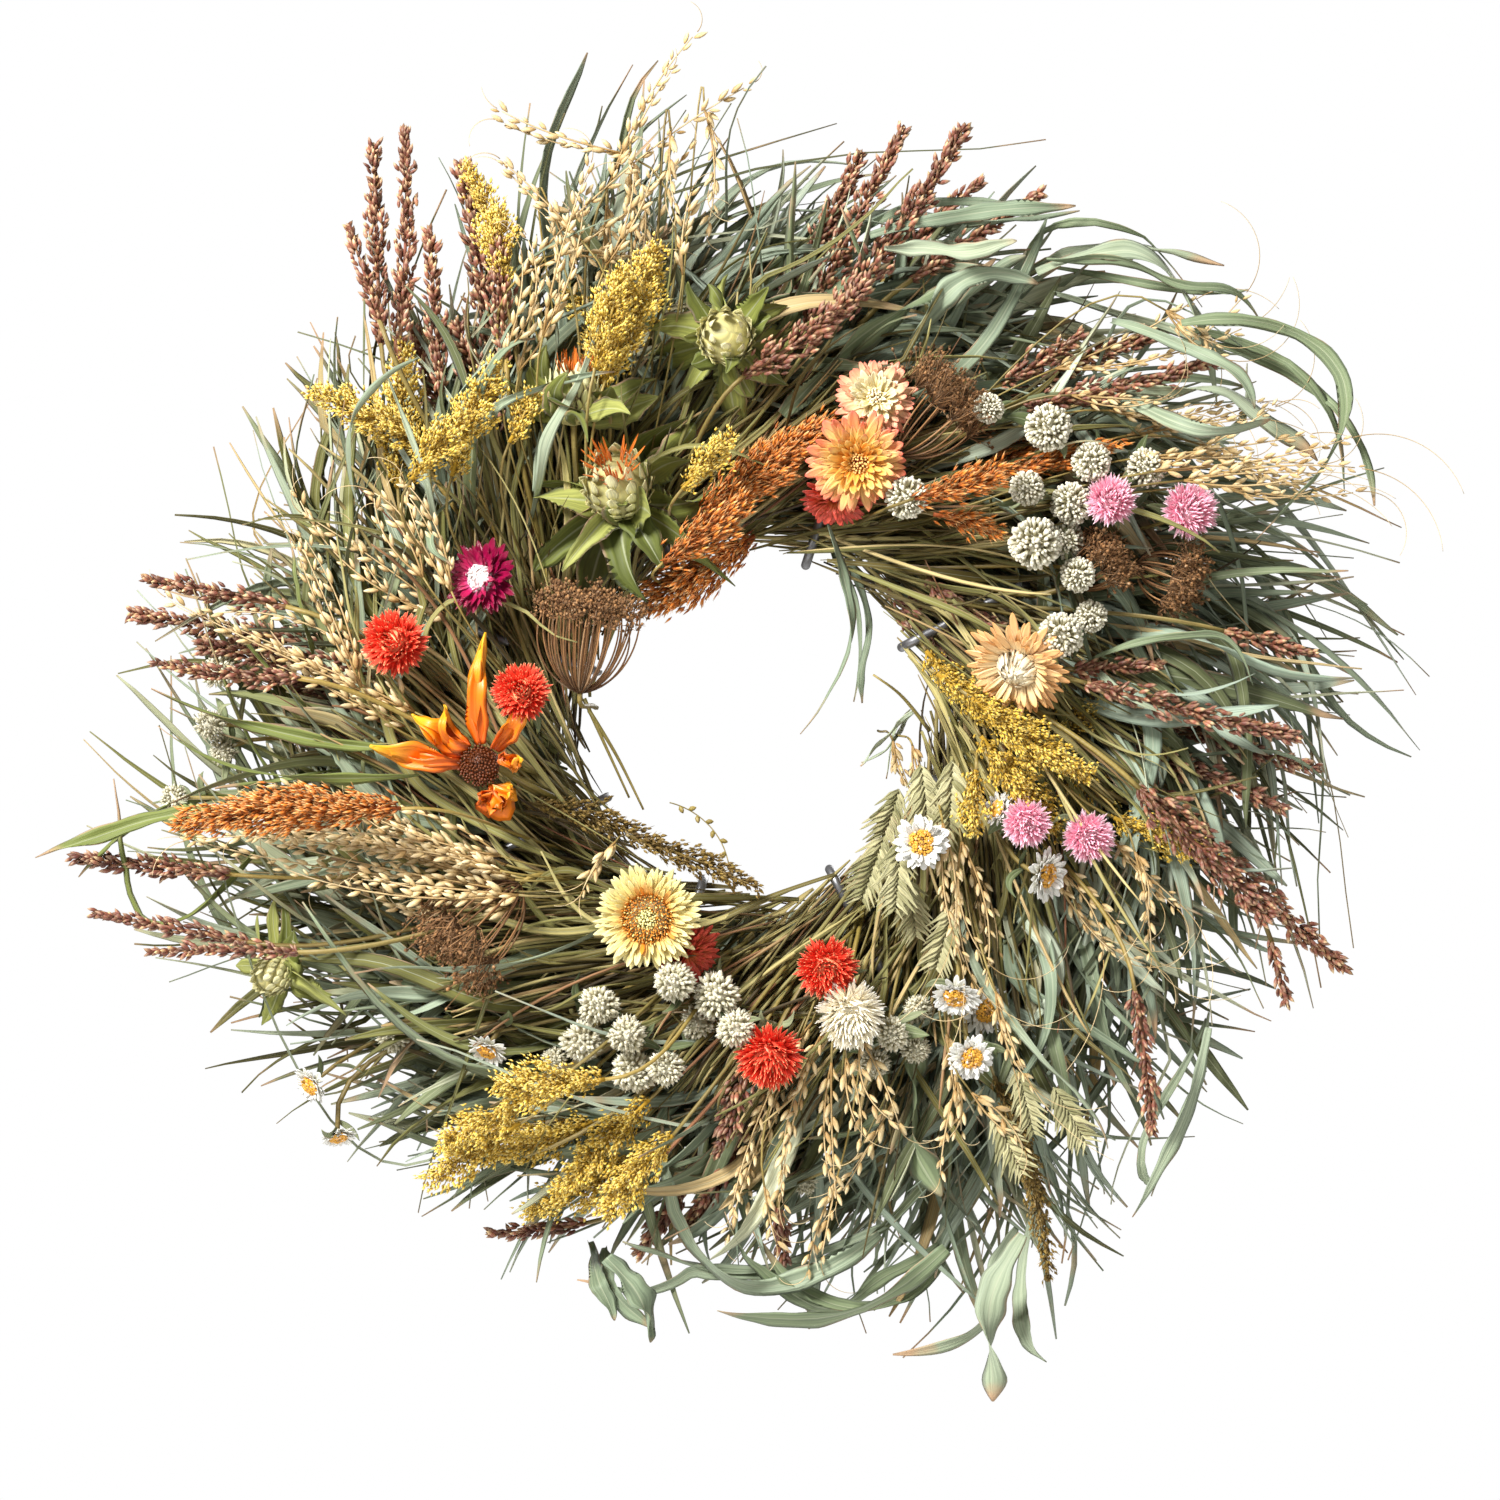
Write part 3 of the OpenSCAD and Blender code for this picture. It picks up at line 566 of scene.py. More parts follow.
def siblings(rng, lines, count, swing, shortest, depths):
    """Copies of lines, swung round the ring, drawn in and laid deeper. The first stays put."""
    lines = np.repeat(lines, count, axis=0)
    n = len(lines)
    first = np.arange(n) % count == 0
    radius, angle = polar(lines)
    longest = np.clip(rim_radius(angle[:, -1]) / radius[:, -1], 0.95, 1.2)
    swing = np.where(first, 0, rng.normal(0, swing, n))[:, None]
    scale = np.where(first, 1, rng.uniform(shortest, longest, n))[:, None]
    radius = radius[:, :1] + (radius - radius[:, :1]) * scale
    deep = LEAF_BACK + (-lines[:, -1:, 1] - LEAF_BACK) * np.where(first, depths[0], depths[1])[:, None]
    t = np.linspace(0, 1, lines.shape[1])
    base = rng.uniform(*LEAF_BASE_DEPTH, (n, 1))
    rise = ease(t, 0, 0.6) ** 1.5
    bulge = np.where(first, 0, rng.normal(0, SIBLING_BULGE, n))[:, None]
    angle = angle + swing * (0.6 + 0.4 * t) + bulge * np.sin(math.pi * t)
    return at(radius, angle, base + (deep - base) * rise), np.repeat(np.arange(n // count), count)


STALK_LEAD = 0.42
BUNDLE_INNER = 75 * MM
BUNDLE_OUTER = 97 * MM
ROOT_DEPTHS = 12 * MM, 30 * MM
STALK_RINGS = 12
LEAFLET_RINGS = 10
LEAFLET_LENGTHS = 9 * MM, 19 * MM


def stem_roots(rng, heads):
    """Where in the bundles the stalks of heads start."""
    radius, angle = polar(heads)
    n = len(heads)
    lead = np.clip((radius - BUNDLE_INNER) / (80 * MM), 0.15, 1)
    angle = angle + STALK_LEAD * rng.uniform(0.8, 1.2, n) * lead
    inner = np.minimum(radius, BUNDLE_OUTER) - 8 * MM * rng.random(n)
    return at(inner, angle, rng.uniform(*ROOT_DEPTHS, n))


STALKS = Heap("head_stalks")
LEAFLETS = Heap("head_leaflets")


def add_stalks(heads, back, radius, leaflets=0):
    """Thin stalks that leave the bundles and reach the back of each head, with small leaves on some."""
    rng = STALKS.rng
    roots = stem_roots(rng, heads)
    reach = np.linalg.norm(heads - roots, axis=1, keepdims=True)
    line = bezier(roots, roots + (heads - roots) * 0.4 + FRONT * 4 * MM, heads + back * reach * 0.3, heads,
                  STALK_RINGS)
    n = len(line)
    width = np.full((n, STALK_RINGS), radius) * rng.uniform(0.8, 1.15, (n, 1))
    add_tubes(STALKS, line, width, rng.random(n), 0.8)
    if leaflets:
        add_leaflets(heads, back, leaflets)


def add_stalk(end, facing, radius, leaflets=0):
    """The stalk of one head, from its end behind the head."""
    add_stalks(end[None], -facing[None], radius, leaflets)


def add_leaflets(heads, back, count):
    """Small soft leaves on the stalks just below the heads."""
    rng = LEAFLETS.rng
    heads, back = np.repeat(heads, count, 0), np.repeat(back, count, 0)
    n = len(heads)
    draw = Draws(rng, n)
    start = heads + back * draw.between(0.0, 12 * MM)
    way = unit(around(back, rng.random(n) * TAU) - back * draw.between(-0.4, 0.6) + FRONT * 0.35)
    length = draw.between(*LEAFLET_LENGTHS)
    bend = unit(np.cross(way, FRONT)) * length * draw.about(0, 0.18)
    line = bezier(start, start + way * length * 0.4 + bend, start + way * length * 0.75 + bend,
                  start + way * length + back * length * draw.between(-0.2, 0.3), LEAFLET_RINGS)
    t = np.linspace(0, 1, LEAFLET_RINGS)
    half = draw.between(0.11, 0.19) * length * np.sin(math.pi * (0.08 + 0.9 * t) ** 0.85)
    roll = draw.about(0, 0.5) + draw.about(0, 0.5) * t
    folds = np.full((n, LEAFLET_RINGS), 0.35)
    add_ribbons(LEAFLETS, line, np.maximum(half, 0.15 * MM), roll, folds, rng.random(n), 0.9)


# ---------------------------------------------------------------- leaves and straw

# Depths run from the frame's y = 0 towards the viewer. Sway, bow, lift and nod are over a blade's length.
LEAF_RINGS = 26
BROAD_RINGS = 36
LEAF_COPIES = 9
LEAF_BACK = -14 * MM
LEAF_BASE_DEPTH = (-12 * MM, 12 * MM)
BACK_LIMIT = -16 * MM
OVERREACH = 16 * MM
WISP_WIDTH = 2.0 * MM
NARROWEST = 0.42 * MM
REACHES = 225 * MM, 280 * MM
SWAY = 0.026
BOW = 0.05
LIFT = 0.022
NOD = 0.07
KINKED_SHARE = 0.16
LEAF_SIBLINGS = dict(swing=0.085, shortest=0.72, depths=(0.8, 0.62))
WISP_SIBLINGS = dict(swing=0, shortest=0.95, depths=(0.7, 0.7))
BROAD_SIBLINGS = dict(swing=0.05, shortest=0.7, depths=(1.0, 0.8))
LEAD_BACK = 30 * MM
LEAD_DEPTH = 14 * MM
# Painted shade on the blades is darkest at DARK_DEPTH; painted light lifts it for blades that reach
# LIT_RADII.
DARK_DEPTH = -10 * MM
LIT_RADII = 170 * MM, 230 * MM


def leaf_widths(rng, width, m):
    """Half widths along a blade: full for most of its length, then a point."""
    t = np.linspace(0, 1, m)
    root = 0.45 + 0.55 * ease(t, 0, 0.3) ** 0.8
    power = rng.uniform(3.0, 14.0, (len(width), 1))
    return np.maximum(width[:, None] / 2 * root * (1 - 0.90 * t**power), NARROWEST)


def outside(lines, reach=1.0):
    """Which of the lines go too far beyond the CAD box, or beyond a radius, seen from the front."""
    across = lines[..., ::2]
    over = (across > BOX[1][::2] + OVERREACH) | (across < BOX[0][::2] - OVERREACH)
    return over.any((1, 2)) | (polar(lines)[0].max(1) > reach)


def blade_push(draw, line, t, phase, wave):
    """How far each blade sways, hooks at its tip, kinks and lifts, off its line."""
    length = np.linalg.norm(np.diff(line, axis=1), axis=2).sum(1)[:, None]
    side = sideways(line)
    strength = wave * np.exp(draw.about(0, 0.5))
    sway = SWAY * strength * np.sin(TAU * draw.between(0.5, 2.0) * t + phase) * t
    bow = BOW * wave * draw.about(0, 1) * np.sin(math.pi * t)
    bias = np.clip(draw.about(0.10, 0.24) * np.exp(draw.about(0, 0.6)), -0.45, 0.55)
    hook = bow + wave * bias * ease(t, 0.4, 1) ** draw.between(1.4, 3.4)
    kinked = draw.share() < KINKED_SHARE * wave
    kink = kinked * draw.about(0, 0.6) * np.clip(t - draw.between(0.6, 0.85), 0, 1)
    lift = LIFT * strength * np.sin(TAU * draw.between(0.5, 1.5) * t + 2 * phase) * t
    lift = lift + wave * draw.about(0, NOD) * ease(t, 0.45, 1) ** 2
    return side * ((sway + hook + kink) * length)[..., None] + FRONT * (lift * length)[..., None]


def held_back(line, push, reach):
    """The pushed lines, each with less of its push where the whole of it would reach too far."""
    pushed = line + push
    for share in (0.55, 0.25, 0.0):
        pushed = np.where(outside(pushed, reach)[:, None, None], line + push * share, pushed)
    pushed[..., 1] = np.minimum(pushed[..., 1], -BACK_LIMIT)
    return pushed


def blade_painted_shade(line):
    """Painted shade and light on each blade: deep ones are painted dark, and those that reach the rim are
    painted lighter.
    """
    depth = -line[:, line.shape[1] // 2, 1]
    shade = np.clip(0.36 + 0.6 * (depth - DARK_DEPTH) / (40 * MM), 0.24, 1)
    rim = ease(polar(line[:, -1])[0], *LIT_RADII)
    return shade + (1 - shade) * 0.6 * rim


def add_leaves(heap, line, width, fold=(0.1, 0.9), twist=1.0, wave=1.0, tint=None, ruffle=0.08):
    """Blades along lines, each with its own fold, twist, waves, hooked tip and now and then a kink."""
    rng = heap.rng
    n, m = line.shape[:2]
    draw = Draws(rng, n)
    t = np.linspace(0, 1, m)[None]
    phase = draw.between(0, TAU)
    push = blade_push(draw, line, t, phase, wave)
    reach = np.maximum(rng.uniform(*REACHES, n), polar(line)[0].max(1) + 4 * MM)
    line = held_back(line, push, reach)
    roll = draw.about(0, 0.5) + twist * draw.about(0, 1.1) * t**1.3
    roll = roll + 0.35 * twist * np.sin(draw.between(5, 13) * t + phase)
    folds = draw.between(*fold) * (1 - 0.35 * np.sin(math.pi * t))
    tint = rng.random(n) if tint is None else tint
    half = leaf_widths(rng, width, m)
    half = half * (1 + ruffle * (np.sin(draw.between(6, 14) * t + 3 * phase) + np.sin(31 * t + phase) / 2))
    add_ribbons(heap, line, half, roll, folds, tint, blade_painted_shade(line))


def lead_in(lines):
    """Lines lengthened at the base, back towards the bundles."""
    way = unit(lines[:, 0] - lines[:, 2])
    start = lines[:, :1] + way[:, None] * LEAD_BACK
    start[..., 1] = 0.6 * start[..., 1] - 0.4 * LEAD_DEPTH
    return np.concatenate([start, lines], axis=1)


def blades(node):
    """The centre lines and the widths of the blades in a CAD node."""
    found = [blade_line(p) for p in solids(node)]
    return np.array([f[0] for f in found]), np.array([f[1] for f in found])


def leaf_bundle(k, material):
    """The leaves of one sector: each CAD blade with its neighbours, and a thin wisp along each."""
    heap = Heap(f"leaf_mass_{k}")
    rng = heap.rng
    lines, width = blades(f"leaves_{k}")
    lines = lead_in(lines)
    grown, parent = siblings(rng, lines, LEAF_COPIES, **LEAF_SIBLINGS)
    first = np.arange(len(grown)) % LEAF_COPIES == 0
    scatter = np.where(first, 1.15, rng.uniform(0.55, 1.45, len(grown)))
    add_leaves(heap, resample(grown, LEAF_RINGS), width[parent] * scatter)
    wisps, _ = siblings(rng, lines, 1, **WISP_SIBLINGS)
    add_leaves(heap, resample(wisps, LEAF_RINGS), np.full(len(wisps), WISP_WIDTH), twist=0.5, wave=2.0)
    heap.build(material, "leaf", f"leaves_{k}")


# Blades over the flowers: four points that guide each curve, in mm from the ring's middle, and its width.
TOP_BLADES = (
    ((-96, 78), (-92, 108), (-84, 138), (-82, 168), 5.0),
    ((-122, 104), (-118, 128), (-96, 140), (-69, 160), 4.5),
    ((-133, 129), (-108, 118), (-118, 152), (-95, 165), 4.0),
    ((-166, 90), (-182, 120), (-174, 142), (-154, 164), 4.2),
    ((-133, 46), (-134, 90), (-146, 118), (-152, 148), 4.0),
    ((-125, 94), (-146, 80), (-134, 70), (-129, 62), 4.5),
    ((136, 23), (160, 38), (200, 44), (190, 22), 4.2),
    ((138, 28), (150, 12), (164, 6), (178, 1), 3.6),
    ((146, 142), (170, 128), (190, 118), (212, 130), 7.0),
    ((150, 168), (182, 162), (206, 150), (211, 131), 7.0),
    ((86, -74), (96, -130), (140, -132), (152, -176), 4.8),
    ((-60, -84), (-100, -112), (-128, -96), (-150, -120), 4.5),
)
TOP_DEPTHS = (31, 62, 68.2, 58.9)


def spot(x, z, depth):
    """A point in mm from the middle of the ring, seen from the front."""
    return CENTRE + np.array([x * MM, -depth * MM - CENTRE[1], z * MM])


def spot_curve(points, depths, m):
    """A curve of m points guided by four points and depths in mm."""
    return bezier(*[spot(*point, depth)[None] for point, depth in zip(points, depths)], m)[0]


def broad_leaves(material):
    """The broad blades that lie on top, with soft folds along each, their neighbours, and the top blades."""
    heap = Heap("broad_leaf_blades")
    lines, width = blades("broad_blades")
    green = (lines[:, 0, 0] < -80 * MM) & (lines[:, -1, 2] < 20 * MM)
    tint = np.where(green, 0.08, heap.rng.uniform(0.4, 1.0, len(lines)))
    add_leaves(heap, resample(lines, BROAD_RINGS), width * 0.85, (0.15, 0.8), 1.3, 1.0, tint, 0.17)
    more, parent = siblings(heap.rng, lines, 3, **BROAD_SIBLINGS)
    keep = np.arange(len(more)) % 3 > 0
    more, parent = more[keep], parent[keep]
    add_leaves(heap, resample(more, BROAD_RINGS), width[parent] * 0.55, (0.2, 0.9), 1.4, 1.0,
               tint[parent], 0.16)
    top = [spot_curve(blade, TOP_DEPTHS, BROAD_RINGS) for blade in TOP_BLADES]
    width = np.array([blade[4] for blade in TOP_BLADES]) * MM
    add_leaves(heap, np.array(top), width, (0.2, 0.9), 1.3, 0.5, heap.rng.uniform(0.3, 1.0, len(top)), 0.14)
    heap.build(material, "broad_leaf", "broad_blades")


STRAW_PER_STEM = 4
STRAW_RINGS = 12
STRAW_SCATTER = 2.6 * MM
STRAW_BEND = 3 * MM, 6 * MM
STRAW_RADII = 0.4 * MM, 1.05 * MM
LOOSE_RADII = 0.3 * MM, 0.95 * MM
# Depth at which the straw's painted shade gives way to its full colour.
LIT_DEPTH = 34 * MM
INNER_STRAW = 92
INNER_BLADES = 44
INNER_RADII = 70 * MM, 125 * MM
INNER_DEPTHS = -4 * MM, 36 * MM
INNER_LENGTHS = 50 * MM, 150 * MM
INNER_WIDTHS = 1.8, 4.5


def add_straw(heap, line, thin, thick):
    """Stalks along lines, each thinner towards its two ends, the deep ones darkened by painted shade."""
    rng = heap.rng
    n, m = line.shape[:2]
    ends = 1 - 0.6 * np.abs(np.linspace(-1, 1, m)) ** 5
    radius = rng.uniform(thin, thick, (n, 1)) * ends
    tint = rng.random(n)
    depth = -line[:, m // 2, 1]
    # Painted shade by depth, times a random tone for each stalk.
    shade = np.clip(0.25 + 0.75 * depth / LIT_DEPTH, 0.15, 1) * rng.uniform(0.75, 1, n)
    add_tubes(heap, line, radius, tint, shade, 6)


def stem_ends(node):
    """The inner and the outer end of each CAD stem."""
    ends = []
    for points in solids(node):
        middle = points.mean(0)
        axis = np.linalg.svd(points - middle, full_matrices=False)[2][0]
        t = (points - middle) @ axis
        pair = np.array([middle + axis * t.min(), middle + axis * t.max()])
        ends.append(pair if polar(pair[0])[0] < polar(pair[1])[0] else pair[::-1])
    return np.array(ends)


def bundle_straw(rng, node):
    """Lines of thin stalks scattered round each CAD stem."""
    ends = np.repeat(stem_ends(node), STRAW_PER_STEM, axis=0)
    draw = Draws(rng, len(ends))
    ends = ends + rng.normal(0, STRAW_SCATTER, ends.shape)
    start, stop = ends[:, 0], ends[:, 1]
    way = stop - start
    start = start + way * draw.between(-0.12, 0.25)
    side = np.cross(unit(way), FRONT)
    bend = side * draw.about(*STRAW_BEND)
    other = side * draw.about(*STRAW_BEND)
    return bezier(start, start + way * 0.33 + bend, start + way * 0.7 + other, stop, STRAW_RINGS)


def straw_bundle(k, material):
    """The straw of one bundle: the CAD stems as thinner stalks, and loose ones at the inner rim."""
    heap = Heap(f"straw_{k}")
    rng = heap.rng
    add_straw(heap, bundle_straw(rng, f"stems_{k}"), *STRAW_RADII)
    low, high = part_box(f"clamp_{k}")
    clamp = polar((np.array(low) + np.array(high)) / 2)[1]
    add_straw(heap, loose_straw(rng, clamp, INNER_STRAW), *LOOSE_RADII)
    line = resample(loose_straw(rng, clamp, INNER_BLADES), LEAF_RINGS)
    width = rng.uniform(*INNER_WIDTHS, INNER_BLADES) * MM
    add_leaves(heap, line, width, tint=rng.uniform(0.2, 0.75, INNER_BLADES))
    heap.build(material, "straw", f"stems_{k}")


def loose_straw(rng, clamp, n):
    """Lines that start near the inner rim round a clamp and run off clockwise to the outside."""
    angle = clamp + rng.uniform(-0.1, 0.72, n)
    radius = rng.uniform(*INNER_RADII, n)
    start = at(radius, angle, rng.uniform(*INNER_DEPTHS, n))
    length = rng.uniform(*INNER_LENGTHS, n)[:, None]
    turn = rng.normal(1.27, 0.2, n)
    way = heading(angle - turn, rng.normal(0.05, 0.13, n))
    later = heading(angle - turn + rng.normal(0.1, 0.35, n), rng.normal(0.1, 0.2, n))
    line = bezier(start, start + way * length * 0.4, start + way * length * 0.7,
                  start + (way * 0.6 + later * 0.4) * length, STRAW_RINGS)
    line[..., 1] = np.minimum(line[..., 1], -LEAF_BACK)
    return line


# ---------------------------------------------------------------- seed heads


SPIKE_RINGS = 24
STEM_RINGS = 12
SORGHUM_BEND, PLUME_BEND, STRING_BEND = 0.03, 0.04, 0.09


def spikes(node):
    """Bases, tips and radii of the spikes in a CAD node."""
    found = [turned_solid(p) for p in solids(node)]
    return (np.array([f[2] for f in found]), np.array([f[0] for f in found]),
            np.array([f[3] for f in found]))


def spike_curve(rng, base, tip, bend):
    """A lightly bent line from base to tip, with its length."""
    length = np.linalg.norm(tip - base)
    side = unit(np.cross(tip - base, FRONT)) * bend * length * rng.normal()
    lift = FRONT * 0.03 * length * rng.normal()
    line = bezier(base[None], (base + (tip - base) * 0.35 + side + lift)[None],
                  (base + (tip - base) * 0.7 + side)[None], tip[None], SPIKE_RINGS)[0]
    return line, length


def along_curve(line, t):
    """Points and directions at shares t of a curve."""
    place = np.clip(t, 0, 1) * (len(line) - 1)
    low = np.minimum(place.astype(int), len(line) - 2)
    share = (place - low)[:, None]
    return line[low] * (1 - share) + line[low + 1] * share, unit(line[low + 1] - line[low])


def around(way, angle):
    """Unit vectors square to way, at an angle round it."""
    other = np.where(np.abs(way[:, 1:2]) > 0.9, np.array([1.0, 0, 0]), FRONT)
    x = unit(np.cross(way, other))
    y = np.cross(way, x)
    return x * np.cos(angle)[:, None] + y * np.sin(angle)[:, None]


def scaled(turn, wide, tall):
    """Rotations that also scale a shape's width and its length."""
    return turn * np.stack([wide, wide, tall], -1)[:, None, :]


def spun(rng, way, wide, tall, size):
    """Turns that set shapes upright on each way, at a random spin, with their width and length."""
    return scaled(frames(way, rng.random(len(way)) * 6), wide * size, tall * size)


SEED = lathe([(0, 0), (0.12, 0.28), (0.4, 0.5), (0.72, 0.36), (1, 0)], 6)
KERNEL = lathe([(0, 0), (0.08, 0.2), (0.35, 0.5), (0.7, 0.42), (0.92, 0.16), (1, 0)], 7)
BUD = lathe([(0, 0), (0.3, 0.25), (0.65, 0.5), (0.8, 0.32), (1, 0)], 5)
SPIKELET = lathe([(0, 0), (0.3, 0.5), (0.65, 0.35), (1, 0)], 4)
SORGHUM_SEED = 5.4 * MM, 2.05 * MM
SORGHUM_STEP = 0.36 * MM
SORGHUM_RADIUS = 6 * MM
CLUSTER_PITCHES = 7 * MM, 11 * MM, 17 * MM, 29 * MM
KERNEL_PITCH = 4.3 * MM


def sorghum_head(heap, line, reach, r, tone):
    """Seeds in clusters round one stalk, widest a third of the way up."""
    rng = heap.rng
    length, wide = SORGHUM_SEED
    n = int(reach / SORGHUM_STEP * (r / SORGHUM_RADIUS) ** 0.7)
    draw = Draws(rng, n)
    t = np.sort(rng.random(n)) ** 0.92
    place, way = along_curve(line, t)
    wander = rng.random(4) * 6
    waves = sum(np.sin(t * reach / pitch * TAU + q) for pitch, q in zip(CLUSTER_PITCHES, wander))
    swell = np.minimum(0.45 + 2.2 * t, 1) * (1 - 0.62 * np.clip(t - 0.35, 0, 1) / 0.65)
    out = around(way, np.arange(n) * GOLDEN + rng.normal(0, 0.25, n))
    spread = 1.15 * r * swell * (0.8 + 0.14 * waves) * rng.uniform(0.25, 1.1, n)
    lean = unit(way + out * draw.between(0.1, 0.85) + rng.normal(0, 0.24, (n, 3)))
    turn = spun(rng, lean, wide, length, rng.uniform(0.65, 1.15, n))
    # Painted shade: seeds close to the stalk are darker than those that stand out.
    shade = np.clip(0.28 + 0.8 * spread / (r * swell), 0.3, 1)
    tint = np.where(rng.random(n) < 0.2, 0.97, rng.normal(tone, 0.22, n)).clip(0, 1)
    add_copies(heap, SEED, turn, place + out * spread[:, None] - lean * length * 0.4, tint, shade)
    add_stem(heap, along_curve(line, np.linspace(0, 1, STEM_RINGS))[0], 1.1, 0.4, 0.9, 0.8)


def sorghum(node, material, tone):
    """Heads of pointed seeds on stalks."""
    heap = Heap(f"{node}_seeds")
    base, tip, radius = spikes(node)
    for b, e, r in zip(base, tip, radius):
        sorghum_head(heap, *spike_curve(heap.rng, b, e, SORGHUM_BEND), r, tone)
    add_stalks(base, unit(base - tip), 1.1 * MM)
    heap.build(material, "sorghum", node)


GOLDENROD = dict(pitch=1.9 * MM, step=0.19 * MM, size=(2.0 * MM, 1.1 * MM), fluff=2.4 * MM,
                 rise=0.8, spread=2.0, forward=0.6, girth=1.4)
RUST_PLUME = dict(pitch=1.1 * MM, step=0.5 * MM, size=(4.6 * MM, 1.1 * MM), fluff=4.5 * MM,
                  rise=1.2, spread=1.0, forward=0.9, girth=1.0)
FOXTAIL = dict(pitch=1.2 * MM, step=0.6 * MM, size=(2.6 * MM, 1.3 * MM), fluff=3.0 * MM,
               rise=0.9, spread=1.0, forward=0.6, girth=1.0)


def branches(rng, line, reach, r, pitch, rise):
    """Side branches of a plume: starts, directions, the stem's own direction, lengths and shares."""
    n = int(reach / pitch)
    t = (np.arange(n) + rng.random(n)) / n
    place, way = along_curve(line, t * 0.97)
    swell = np.minimum(0.4 + 2.0 * t, 1) * (1 - 0.75 * np.clip(t - 0.3, 0, 1) / 0.7)
    out = around(way, np.arange(n) * GOLDEN + rng.normal(0, 0.3, n))
    length = r * swell * rng.uniform(0.85, 1.25, n) * math.sqrt(1 + rise**2)
    return place, unit(way * rise + out), way, length, t


def plume_spike(heap, line, reach, r, pitch, step, size, fluff, rise, spread, forward, girth):
    """One plume: side branches at a pitch, a floret at each step along them, and its bristle."""
    rng = heap.rng
    start, way, grow, length, t = branches(rng, line, reach, r * girth, pitch, rise)
    k = np.repeat(np.arange(len(start)), np.maximum((length / step).astype(int), 2))
    n = len(k)
    u = rng.random(n) ** 0.8
    place = start[k] + way[k] * (u * length[k])[:, None] + grow[k] * (u**2 * length[k] * 0.35)[:, None]
    place += rng.normal(0, 0.35 * size[0] * spread, (n, 3))
    lean = unit(way[k] + grow[k] * forward + rng.normal(0, 0.35, (n, 3)))
    turn = spun(rng, lean, size[1], size[0], rng.uniform(0.7, 1.2, n))
    tint = np.clip(0.5 + 0.22 * rng.normal(size=n) + 0.25 * (t[k] - 0.5), 0, 1)
    # Painted shade: florets near the start of a branch are darker than those at its end.
    add_copies(heap, SPIKELET, turn, place, tint, np.clip(0.32 + 0.75 * u, 0, 1))
    hairs(heap, place, lean, fluff)
    span = length[:, None]
    twig = np.stack([start, start + way * span * 0.5, start + way * span + grow * span * 0.35], 1)
    add_tubes(heap, twig, np.full(twig.shape[:2], 0.3 * MM), 0.15, 0.7, sides=3)
    add_stem(heap, line[::2], 1.0, 0.35, 0.2, 0.8)


def plume(node, name, material, slot, style):
    """Plumes of florets on short side branches: goldenrod, rust plumes and foxtail."""
    heap = Heap(name)
    base, tip, radius = spikes(node)
    for b, e, r in zip(base, tip, radius):
        plume_spike(heap, *spike_curve(heap.rng, b, e, PLUME_BEND), r, **style)
    add_stalks(base, unit(base - tip), 0.8 * MM)
    heap.build(material, slot, node)


HAIR_RADII = np.array([0.22, 0.16, 0.06]) * MM


def hairs(heap, place, lean, length):
    """Fine bristles, one beside each floret."""
    rng = heap.rng
    n = len(place)
    tip = place + unit(lean + rng.normal(0, 0.25, (n, 3))) * (length * rng.uniform(0.6, 1.2, (n, 1)))
    line = np.stack([place, (place + tip) / 2, tip], 1)
    width = HAIR_RADII * np.ones((n, 1))
    add_tubes(heap, line, width, rng.random(n), 1.0, sides=3)


def string_way(rng, way, first, swing):
    """The way of one string: the first as the head's own, the others swung a little and shorter."""
    angle = 0 if first else rng.normal(0, swing)
    x, y, z = way * (1 if first else rng.uniform(0.6, 1.0))
    forward = (not first) * rng.uniform(-3, 3) * MM
    c, s = math.cos(angle), math.sin(angle)
    return np.array([c * x - s * z, y - forward, s * x + c * z])


def kernel_string(heap, start, way, kernel, thread):
    """One thread with kernels set left and right of it, and a tendril at its end."""
    rng = heap.rng
    line, reach = spike_curve(rng, start, start + way, STRING_BEND)
    n = max(int(reach / KERNEL_PITCH), 4)
    t = (np.arange(n) + rng.uniform(0.15, 0.85, n)) / n
    place, grow = along_curve(line, t)
    side = np.where(np.arange(n) % 2, 1.0, -1.0)
    out = around(grow, rng.normal(0, 0.5) + rng.normal(0, 0.35, n)) * side[:, None]
    lean = unit(grow + out * rng.uniform(0.1, 0.7, (n, 1)))
    scale = rng.uniform(0.65, 1.2, n) * (1 - 0.2 * t)
    turn = spun(rng, lean, kernel[1], kernel[0], scale)
    add_copies(heap, KERNEL, turn, place + out * 0.7 * MM, rng.normal(0.5, 0.22, n).clip(0, 1), 1.0)
    add_stem(heap, line[::2], 0.5, 0.25, 0.3, 0.9, 4)
    add_tendril(heap, line[-1], unit(line[-1] - line[-3]), thread)


def rice(node, material, strings=2, kernel=(6.9 * MM, 2.4 * MM), swing=0.05, thread=(8, 24)):
    """Strings of kernels, a few from each base."""
    heap = Heap(f"{node}_kernels")
    base, tip, _ = spikes(node)
    for b, e in zip(base, tip):
        for string in range(strings):
            kernel_string(heap, b, string_way(heap.rng, e - b, string == 0, swing), kernel, thread)
    add_stalks(base, unit(base - tip), 0.5 * MM)
    heap.build(material, "rice", node)


TENDRIL_RINGS = 18


